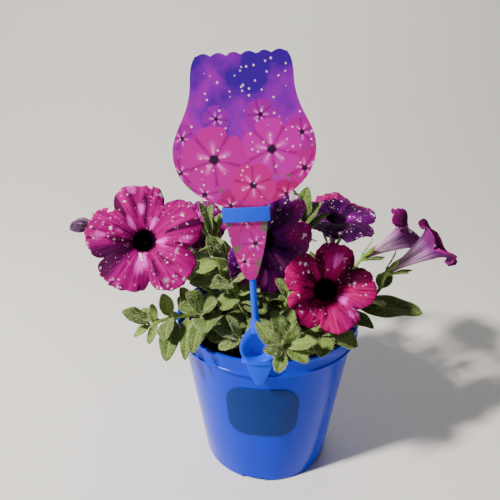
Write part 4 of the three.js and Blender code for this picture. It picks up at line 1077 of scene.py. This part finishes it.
for number, (name, line) in enumerate(lines.items()):
    lots = drawing_lots(300 + number)
    stems = bmesh.new()
    sway = [np.array([lots() - 0.5, lots() - 0.5, 0]) * 1.2 for _ in range(2)]
    steps = [i / 22 for i in range(23)]
    way = [along_curve(line, t) + sway[0] * math.sin(3.1 * math.pi * t) * 0.5 for t in steps]
    way = [np.array([*way[0][:2], SOIL_TOP / MM - 4])] + way
    tube_through(stems, way, [STEM_THICK] + [mixed(STEM_THICK, STEM_THIN, t) for t in steps], 10)
    seated = [seats[row[0]] for row in FLOWERS if row[1] == name]
    if name == "bloom_left":
        seated.append(seats["withered"])
    fuzz = bmesh.new()
    for one in seated:
        stalk = stalk_line(line, one)
        steps = [i / 18 for i in range(19)]
        swell = [mixed(STEM_THIN, 3.4, max(0.0, 4 * t - 3)) for t in steps]
        whole = bmesh.new()
        tube_through(whole, [along_curve(stalk, t) for t in steps], swell, 10)
        add_to(stems, whole)
        for k in range(5):
            add_to(stems, blade_of(sepal(one, k), 4, 10, 0.5, 0.6))
        add_to(fuzz, hairs_along(stalk, STALK_HAIRS, 1.1, 0.3))
    faces_out(stems)
    foliage = bmesh.new()
    for leaf in leaves[name]:
        young = 1 - min(1.0, leaf["length"] / 26)
        add_to(foliage, blade_of(leaf, 10, 18, 0.08 + 0.35 * young + 0.3 * lots(), 0.45))
        hairs = bmesh.new()
        edge_s = 0.1 + 0.88 * np.arange(EDGE_HAIRS) / (EDGE_HAIRS - 1)
        for v in (-1.0, 1.0):
            across = unit(np.cross(leaf["out"], leaf["up"])) * v
            for spot in leaf_points(leaf, edge_s, np.full(EDGE_HAIRS, v)):
                lean = across + leaf["out"] * (lots() - 0.2) + leaf["up"] * (lots() - 0.5)
                hair_on(hairs, spot, unit(lean), 0.8 + 0.8 * lots(), 0.09)
        inner_s = np.array([0.1 + 0.85 * lots() for _ in range(FACE_HAIRS)])
        inner_v = np.array([1.8 * lots() - 0.9 for _ in range(FACE_HAIRS)])
        for spot in leaf_points(leaf, inner_s, inner_v):
            lean = leaf["up"] + leaf["out"] * (lots() - 0.5) * 0.8
            hair_on(hairs, spot, unit(lean), 0.8 + 0.5 * lots(), 0.07)
        add_to(fuzz, hairs)
    add_to(fuzz, hairs_along(line, SHOOT_HAIRS, 1.9, 0))
    for kind, shape, finish in [
        ("shoot_", stems, green_stem), ("leaves_", foliage, leaf_green), ("down_", fuzz, clear_hair),
    ]:
        piece = make_object(kind + name, shape, [finish], smooth=shape is not fuzz)
        seat(piece, "leaf_and_stem", "stem_" + name)

# ---- the flowers ------------------------------------------------------------------------------
# Funnel-shaped petunia flowers of one thin, soft piece: a narrow tube that opens through a dark throat
# into five joined lobes with crinkled edges. No two are marked alike: pale flares round the throat,
# white speckles, dark velvety patches and fine dark veins, with painted shade on shaded lobes and
# painted light on lit lobe edges laid in among the marks.
# For each flower its flares, dark patches and redder parts, each an angle seen from the front, half its
# width, where it begins and ends on the way out, and its strength; then how violet the flower is. The dark
# patches are partly the flower's own markings and partly painted shade: shaded lobes, creases between
# lobes, and the flowers under the label and at the back right, which lie in shadow. The redder parts
# are partly painted light on lit lobe edges, and a negative one partly painted shade on a shaded lobe.
# The deep violet of the centre and back right flowers is partly painted shade.
MARKS = {
    "left": (
        [(58, 9, 0, 0.5, 1), (124, 8, 0, 0.55, 1), (92, 5, 0.4, 0.65, 0.9), (-10, 13, 0, 0.45, 0.9),
         (262, 15, 0, 0.75, 1.1), (158, 5, 0.3, 0.5, 0.6), (-3, 6, 0.65, 0.95, 0.6),
         (172, 6, 0.65, 0.9, 0.6), (100, 7, 0.85, 1.15, 0.8)],
        [(206, 21, 0, 1.8, 1.1), (124, 6, 0.5, 1.5, 0.9), (84, 9, 0.15, 1.1, 0.6), (104, 6, 0.3, 1.3, 0.6),
         (14, 6, 0.3, 1.4, 0.8), (288, 7, 0.3, 0.9, 0.6), (180, 12, 0, 0.7, 0.8), (310, 6, 0.2, 0.8, 0.5),
         (150, 5, 0.1, 0.7, 0.5), (42, 6, 0.1, 0.8, 0.4)],
        [(206, 24, 0, 1.8, -0.2)],
        0.4,
    ),
    "left_back": (
        [(70, 14, 0, 0.5, 0.8), (100, 12, 0.6, 0.9, 0.5)],
        [(150, 20, 0, 1.4, 0.8), (20, 12, 0.3, 1.4, 0.8), (290, 40, 0, 1.4, 0.8)],
        [],
        0.6,
    ),
    "centre": (
        [(300, 14, 0.2, 0.9, 0.7), (255, 8, 0.5, 1, 0.6), (282, 9, 0.1, 0.6, 0.6)],
        [(180, 60, 0, 1, 0.7), (250, 20, 0, 0.8, 0.6), (70, 40, 0, 1.1, 0.7), (330, 14, 0, 0.7, 0.6)],
        [(8, 26, 0.35, 1.6, 0.46), (52, 10, 0.5, 1.6, 0.3), (232, 14, 0.45, 1.6, 0.45),
         (275, 8, 0.6, 1.6, 0.3)],
        0.88,
    ),
    "front_right": (
        [(-32, 16, 0, 0.55, 1), (72, 8, 0.4, 0.85, 0.7), (-48, 7, 0.6, 0.95, 0.5)],
        [(142, 14, 0, 0.7, 0.8), (104, 10, 0, 1.1, 0.9), (212, 9, 0, 0.6, 0.8), (250, 6, 0, 0.7, 0.5),
         (30, 23, 0, 1.5, 1), (175, 7, 0, 0.7, 0.7), (-95, 6, 0, 0.9, 0.6), (-62, 5, 0.3, 1.2, 0.4)],
        [(-45, 26, 0.5, 1.6, -0.2), (78, 14, 0.3, 1.5, -0.15)],
        0.17,
    ),
    "back_right": (
        [(-20, 12, 0.1, 0.5, 0.4)],
        [(270, 70, 0, 1.4, 0.8), (150, 40, 0, 1.1, 0.7), (30, 40, 0, 1.1, 0.7), (90, 40, 0, 0.8, 0.9)],
        [(92, 34, 0.6, 1.6, 0.6), (30, 22, 0.6, 1.6, 0.5)],
        0.85,
    ),
    "right_upper": (
        [(80, 12, 0, 0.5, 0.7), (200, 14, 0, 0.5, 0.7)],
        [(150, 26, 0, 1.4, 0.7), (270, 26, 0, 1.4, 0.7), (30, 20, 0, 1.3, 0.7)],
        [],
        0.6,
    ),
    "right_lower": (
        [(40, 12, 0, 0.5, 0.7)],
        [(150, 26, 0, 1.4, 0.8), (250, 60, 0, 1.3, 0.8), (60, 30, 0, 1.2, 0.6)],
        [],
        0.6,
    ),
    "rear_left": (
        [(30, 14, 0, 0.5, 0.9), (150, 10, 0, 0.45, 0.8), (270, 16, 0, 0.55, 0.9)],
        [(90, 18, 0, 1, 0.8), (210, 12, 0.2, 1, 0.5)],
        [],
        0.4,
    ),
    "rear": (
        [(60, 14, 0, 0.5, 0.9), (190, 14, 0, 0.5, 0.9), (320, 10, 0, 0.4, 0.8)],
        [(130, 20, 0, 1, 0.8), (250, 14, 0.2, 1, 0.5)],
        [],
        0.45,
    ),
}


def marked(angles, s, marks):
    total = np.zeros(len(angles))
    for middle, half, first, last, strength in marks:
        off = (angles - middle + 180) % 360 - 180
        wide = half * (0.55 + 0.7 * np.clip((s - first) / max(last - first, 0.01), 0, 1) ** 0.5)
        fade = np.clip((last - s) / (0.45 * (last - first)), 0, 1) * np.clip((s - first) / 0.06 + 1, 0, 1)
        total = np.maximum(total, strength * np.exp(-(off / wide) ** 2) * fade)
    return total


def signed_marks(angles, s, marks):
    """Marks that add up, so that a negative one makes its part bluer."""
    total = np.zeros(len(angles))
    for mark in marks:
        total += math.copysign(1, mark[4]) * marked(angles, s, [(*mark[:4], abs(mark[4]))])
    return total


# Petal, upper face: velvety, saturated magenta to violet, streaked along the veins, with pale lilac
# flares, ink-dark patches and scattered white speckles; a matt pile-like surface with a soft sheen. The
# dark patches and the violet share carry painted shade as well as the flower's own markings, and the
# redder marks painted light on lit lobe edges.
petal_face, tree = new_finish("velvety magenta petal")
place = object_place(tree)
rays = from_mesh(tree, "rays", "Vector")
outward = from_mesh(tree, "outward")
dark = from_mesh(tree, "dark")
pale = from_mesh(tree, "pale")
violet = from_mesh(tree, "violet")
streak = mottle(tree, rays, 1, 3)
# the violet share: the flower's own hue, with painted light on lit edges and painted shade on shaded lobes
hue = ramp(tree, violet, (0, "#B40052"), (0.4, "#B00082"), (1, "#5A0088"))
deep = rescaled(tree, streak, 0.62, 0.42, 0, 0.55)
streaked = blend(tree, deep, hue, "#A8A8A4", "MULTIPLY")
vein_lines = mottle(tree, rays, 2.1, 1)
vein = rescaled(tree, vein_lines, 0.4, 0.33, 0, 0.75)
veined = blend(tree, vein, streaked, "#787878", "MULTIPLY")
# dark patches: the flower's own markings and painted shade
dark_edge = work_out(tree, "MULTIPLY_ADD", streak, 1.1, dark)
dark_mask = rescaled(tree, dark_edge, 0.82, 1.15, 0, 0.95)
darkened = blend(tree, dark_mask, veined, "#6E6E78", "MULTIPLY")
pale_edge = work_out(tree, "MULTIPLY_ADD", streak, 1.3, pale)
pale_mask = rescaled(tree, pale_edge, 0.86, 1.5, 0, 0.95)
flared = blend(tree, pale_mask, darkened, "#F458DC")
shaken = wire(tree, "ShaderNodeTexNoise", {"Vector": place, "Scale": 420, "Detail": 1}).outputs["Color"]
links = {0: shaken, 1: (0.0014, 0.0014, 0.0014), 2: place}
moved = wire(tree, "ShaderNodeVectorMath", links, operation="MULTIPLY_ADD").outputs[0]
crowd = mottle(tree, place, 75, 1)
crowded = work_out(tree, "MULTIPLY_ADD", outward, 0.5, crowd)
ink = flared
for cell, wide, chance in [(1.7, 0.75, 1.7), (3.4, 0.72, 1.74), (6, 0.66, 1.84)]:
    dots = wire(tree, "ShaderNodeTexVoronoi", {"Vector": moved, "Scale": 1000 / cell})
    each = wire(tree, "ShaderNodeSeparateXYZ", {0: dots.outputs["Color"]})
    widest = work_out(tree, "MULTIPLY", each.outputs["Y"], wide)
    dot = rescaled(tree, dots.outputs["Distance"], 0.02, widest, 1, 0)
    likely = work_out(tree, "ADD", each.outputs["X"], crowded)
    chosen = work_out(tree, "GREATER_THAN", likely, chance)
    soft = work_out(tree, "POWER", dot, 2.6)
    shown = work_out(tree, "MULTIPLY", soft, chosen)
    ink = blend(tree, shown, ink, "#FFDCFA")
throat_edge = work_out(tree, "MULTIPLY_ADD", streak, -0.2, outward)
throat = rescaled(tree, throat_edge, 0.39, 0.45, 1, 0)
finished = blend(tree, throat, ink, "#120016")
pile = mottle(tree, place, 1300)
raised = work_out(tree, "MULTIPLY_ADD", streak, 1.6, pile)
petal_skin = relief(tree, raised, 0.4, 0.0006)
surface(
    tree, finished, 0.62, petal_skin, Specular_IOR_Level=0.05, Sheen_Weight=0.04, Sheen_Roughness=0.35,
    Sheen_Tint="#FF40C0",
)

# Petal, back and tube: paler mauve, downy, with dark veins that run up the tube; the dark patches of the
# face darken it too, partly as painted shade on shaded undersides.
petal_back, tree = new_finish("mauve petal back")
rays = from_mesh(tree, "rays", "Vector")
outward = from_mesh(tree, "outward")
streak = mottle(tree, rays, 1.2, 3)
along = ramp(tree, outward, (0, "#A8908E"), (0.36, "#D6A8DA"), (0.62, "#8E2A92"), (1, "#A00A88"))
vein = rescaled(tree, streak, 0.5, 0.38, 0, 0.8)
# darkened where the face has dark patches: partly painted shade
dark = from_mesh(tree, "dark")
shaded = work_out(tree, "MULTIPLY", dark, 0.85)
stained_and_shaded = blend(tree, shaded, along, "#3C1440")
back_tone = blend(tree, vein, stained_and_shaded, "#42104A")
back_skin = relief(tree, streak, 0.5, 0.0006)
surface(
    tree, back_tone, 0.7, back_skin, Specular_IOR_Level=0.15, Sheen_Weight=0.15, Sheen_Roughness=0.4,
    Sheen_Tint="#F6B0F0",
)

# Stamens and stigma: waxy pale green threads with dusty yellow-grey heads, all coloured a dark olive-grey
# as painted shade deep in the throat.
pollen, tree = new_finish("waxy stamen and pollen")
place = object_place(tree)
dust = mottle(tree, place, 900)
# dark olive-grey: painted shade of the deep throat
shaded_pollen_tone = blend(tree, dust, "#38342A", "#6C6850")
surface(tree, shaded_pollen_tone, 0.6)

AROUND = 180
OUTWARD = 36
THREADS = 6  # five stamens and the stigma
FIFTH_TURN = 1.2566


def rippled(a, *waves):
    """Waves round a flower, each its height, how many and its phase."""
    return sum(high * np.sin(often * a + phase) for high, often, phase in waves)


for number, row in enumerate(FLOWERS):
    name, _, _, _, radius, _, turn, _ = row
    # dark patches and redder parts: the flower's own marks with painted shade and painted light among them
    flares, dark_and_shade, tints_and_light, violet_share = MARKS[name]
    lots = drawing_lots(400 + number)
    phases = [FULL_TURN * lots() for _ in range(6)]
    cup = bmesh.new()
    bmesh.ops.create_grid(cup, x_segments=AROUND, y_segments=OUTWARD, size=1.0)
    layers = {key: cup.verts.layers.float.new(key) for key in ("dark", "pale", "outward", "violet")}
    ray_layer = cup.verts.layers.float_vector.new("rays")
    cup.verts.ensure_lookup_table()
    angles = np.array([(corner.co.x + 1) * np.pi for corner in cup.verts]) % (2 * np.pi)
    y = np.array([(corner.co.y + 1) / 2 for corner in cup.verts])
    t = np.where(y < 0.25, 2 * y, 0.5 + (y - 0.25) / 1.5)
    s = np.clip(2 * t - 1, 0, 1)
    axis, u, v, foot = seats[name]
    spots = flower_points(row, angles, t, soft=True)
    a = angles + math.radians(turn)
    uneven = 0.65 + 0.35 * np.sin(2 * a + phases[5])
    crimp = rippled(a, (0.9, 7, phases[0]), (0.6, 12, phases[1]), (0.4, 23, phases[2]))
    groove = -0.6 * np.exp(-(np.sin(2.5 * angles) / 0.16) ** 2) * s * (1 - 0.4 * s)
    ribs = 0.12 * np.cos(45 * a + phases[3]) * s
    lobe = np.floor(angles / (0.4 * np.pi) + 0.5)
    w = 2 * (angles - lobe * 0.4 * np.pi) / (0.4 * np.pi)
    twist = np.array([4.5 * (2 * lots() - 1) for _ in range(5)])[lobe.astype(int) % 5]
    size = min(1.0, radius / 32)
    lift = (crimp * uneven * s ** 3 + groove + ribs + twist * w * (1 - w * w) * s ** 2) * size
    fray = rippled(a, (0.5, 11, phases[4]), (0.35, 29, phases[5]), (0.2, 53, phases[0]))
    out = fray * s ** 6 * size - 0.1 * radius * np.abs(w) ** 7 * s ** 3
    spots = spots + np.outer(lift, axis) + np.outer(out * np.cos(a), u) + np.outer(out * np.sin(a), v)
    degrees = np.degrees(a)
    values = {
        "dark": marked(degrees, s, dark_and_shade), "pale": marked(degrees, s, flares), "outward": t,
        "violet": violet_share - signed_marks(degrees, s, tints_and_light),
    }
    for i, corner in enumerate(cup.verts):
        corner.co = Vector(spots[i]) * MM
        for key, layer in layers.items():
            corner[layer] = values[key][i]
        corner[ray_layer] = (9 * math.cos(a[i]), 9 * math.sin(a[i]), 2.2 * t[i] + number * 3.0)
    bmesh.ops.remove_doubles(cup, verts=cup.verts, dist=1e-5)
    rim = [edge for edge in cup.edges if edge.is_boundary]
    base = [e for e in rim if all((np.array(c.co) / MM - foot) @ axis < 1 for c in e.verts)]
    bmesh.ops.contextual_create(cup, geom=base)
    faces_out(cup)
    flower = make_object("flower_" + name, cup, [petal_face, petal_back])
    settle(flower, "SOLIDIFY", thickness=0.55 * MM, offset=0, material_offset=1, material_offset_rim=1)
    seat(flower, "petal", "bloom_" + name)
    threads = bmesh.new()
    for k in range(THREADS):
        stigma = k == THREADS - 1
        lean = 0 if stigma else 1.7
        side = u * math.cos(FIFTH_TURN * k) + v * math.sin(FIFTH_TURN * k)
        height = 21 if stigma else 17 + 3 * lots()
        ways = [foot + axis * mixed(2.5, height, i / 6) + side * lean * (i / 6) ** 1.5 for i in range(7)]
        one = bmesh.new()
        tube_through(one, ways, [0.35] * 7, 6)
        add_to(threads, one)
        head = Matrix.Translation(Vector(ways[-1]) * MM) @ Matrix.Diagonal((1.2, 1, 0.9, 1))
        bmesh.ops.create_icosphere(threads, subdivisions=2, radius=0.8 * MM, matrix=head)
    seat(make_object("stamens_" + name, threads, [pollen]), "petal", "bloom_" + name)

# ---- the withered flower ----------------------------------------------------------------------
# A spent flower at the far left, closed up and dried to a twisted, pleated purple roll in its calyx.
BUD_RADII = [1.3, 2, 2.6, 4.2, 5.4, 4.6, 2.2]

# Dried petal: papery, dull purple to grey-brown along its pleats, no shine left.
dried_petal, tree = new_finish("dried purple petal")
rays = from_mesh(tree, "rays", "Vector")
streak = mottle(tree, rays, 1, 4)
dried = ramp(tree, streak, (0.38, "#1E1024"), (0.52, "#5A3862"), (0.72, "#B08AB6"))
creased = relief(tree, streak, 0.9, 0.0012)
surface(tree, dried, 0.85, creased)

roll = bmesh.new()
bmesh.ops.create_grid(roll, x_segments=80, y_segments=40, size=1.0)
ray_layer = roll.verts.layers.float_vector.new("rays")
axis, u, v, foot = seats["withered"]
for corner in roll.verts:
    a = math.pi * (corner.co.x + 1)
    t = (corner.co.y + 1) / 2
    closing = max(0.0, (t - 0.97) / 0.03)
    radius = np.interp(t, np.arange(7) / 6, BUD_RADII) * math.sqrt(max(0.0, 1 - closing ** 2))
    radius *= 1 + (-0.05 + 0.17 * math.cos(5 * a) + 0.05 * math.sin(11 * a + 6 * t)) * t
    corner[ray_layer] = (3 * math.cos(a), 3 * math.sin(a), 2.5 * t)
    spun_by = a + 0.9 * t
    spot = foot + axis * BUD_LENGTH * t - UP * 5 * t * t
    spot = spot + (u * math.cos(spun_by) + v * math.sin(spun_by)) * radius
    corner.co = Vector(spot) * MM
bmesh.ops.remove_doubles(roll, verts=roll.verts, dist=1e-5)
bmesh.ops.holes_fill(roll, edges=[e for e in roll.edges if e.is_boundary], sides=0)
faces_out(roll)
seat(make_object("withered_flower", roll, [dried_petal]), "withered_petal", "bud_withered")

# ---- the sizes of the CAD model and the dressed one -------------------------------------------
sizes = {"cad": [list(c) for c in cad_box], "visual": [list(c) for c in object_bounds()]}
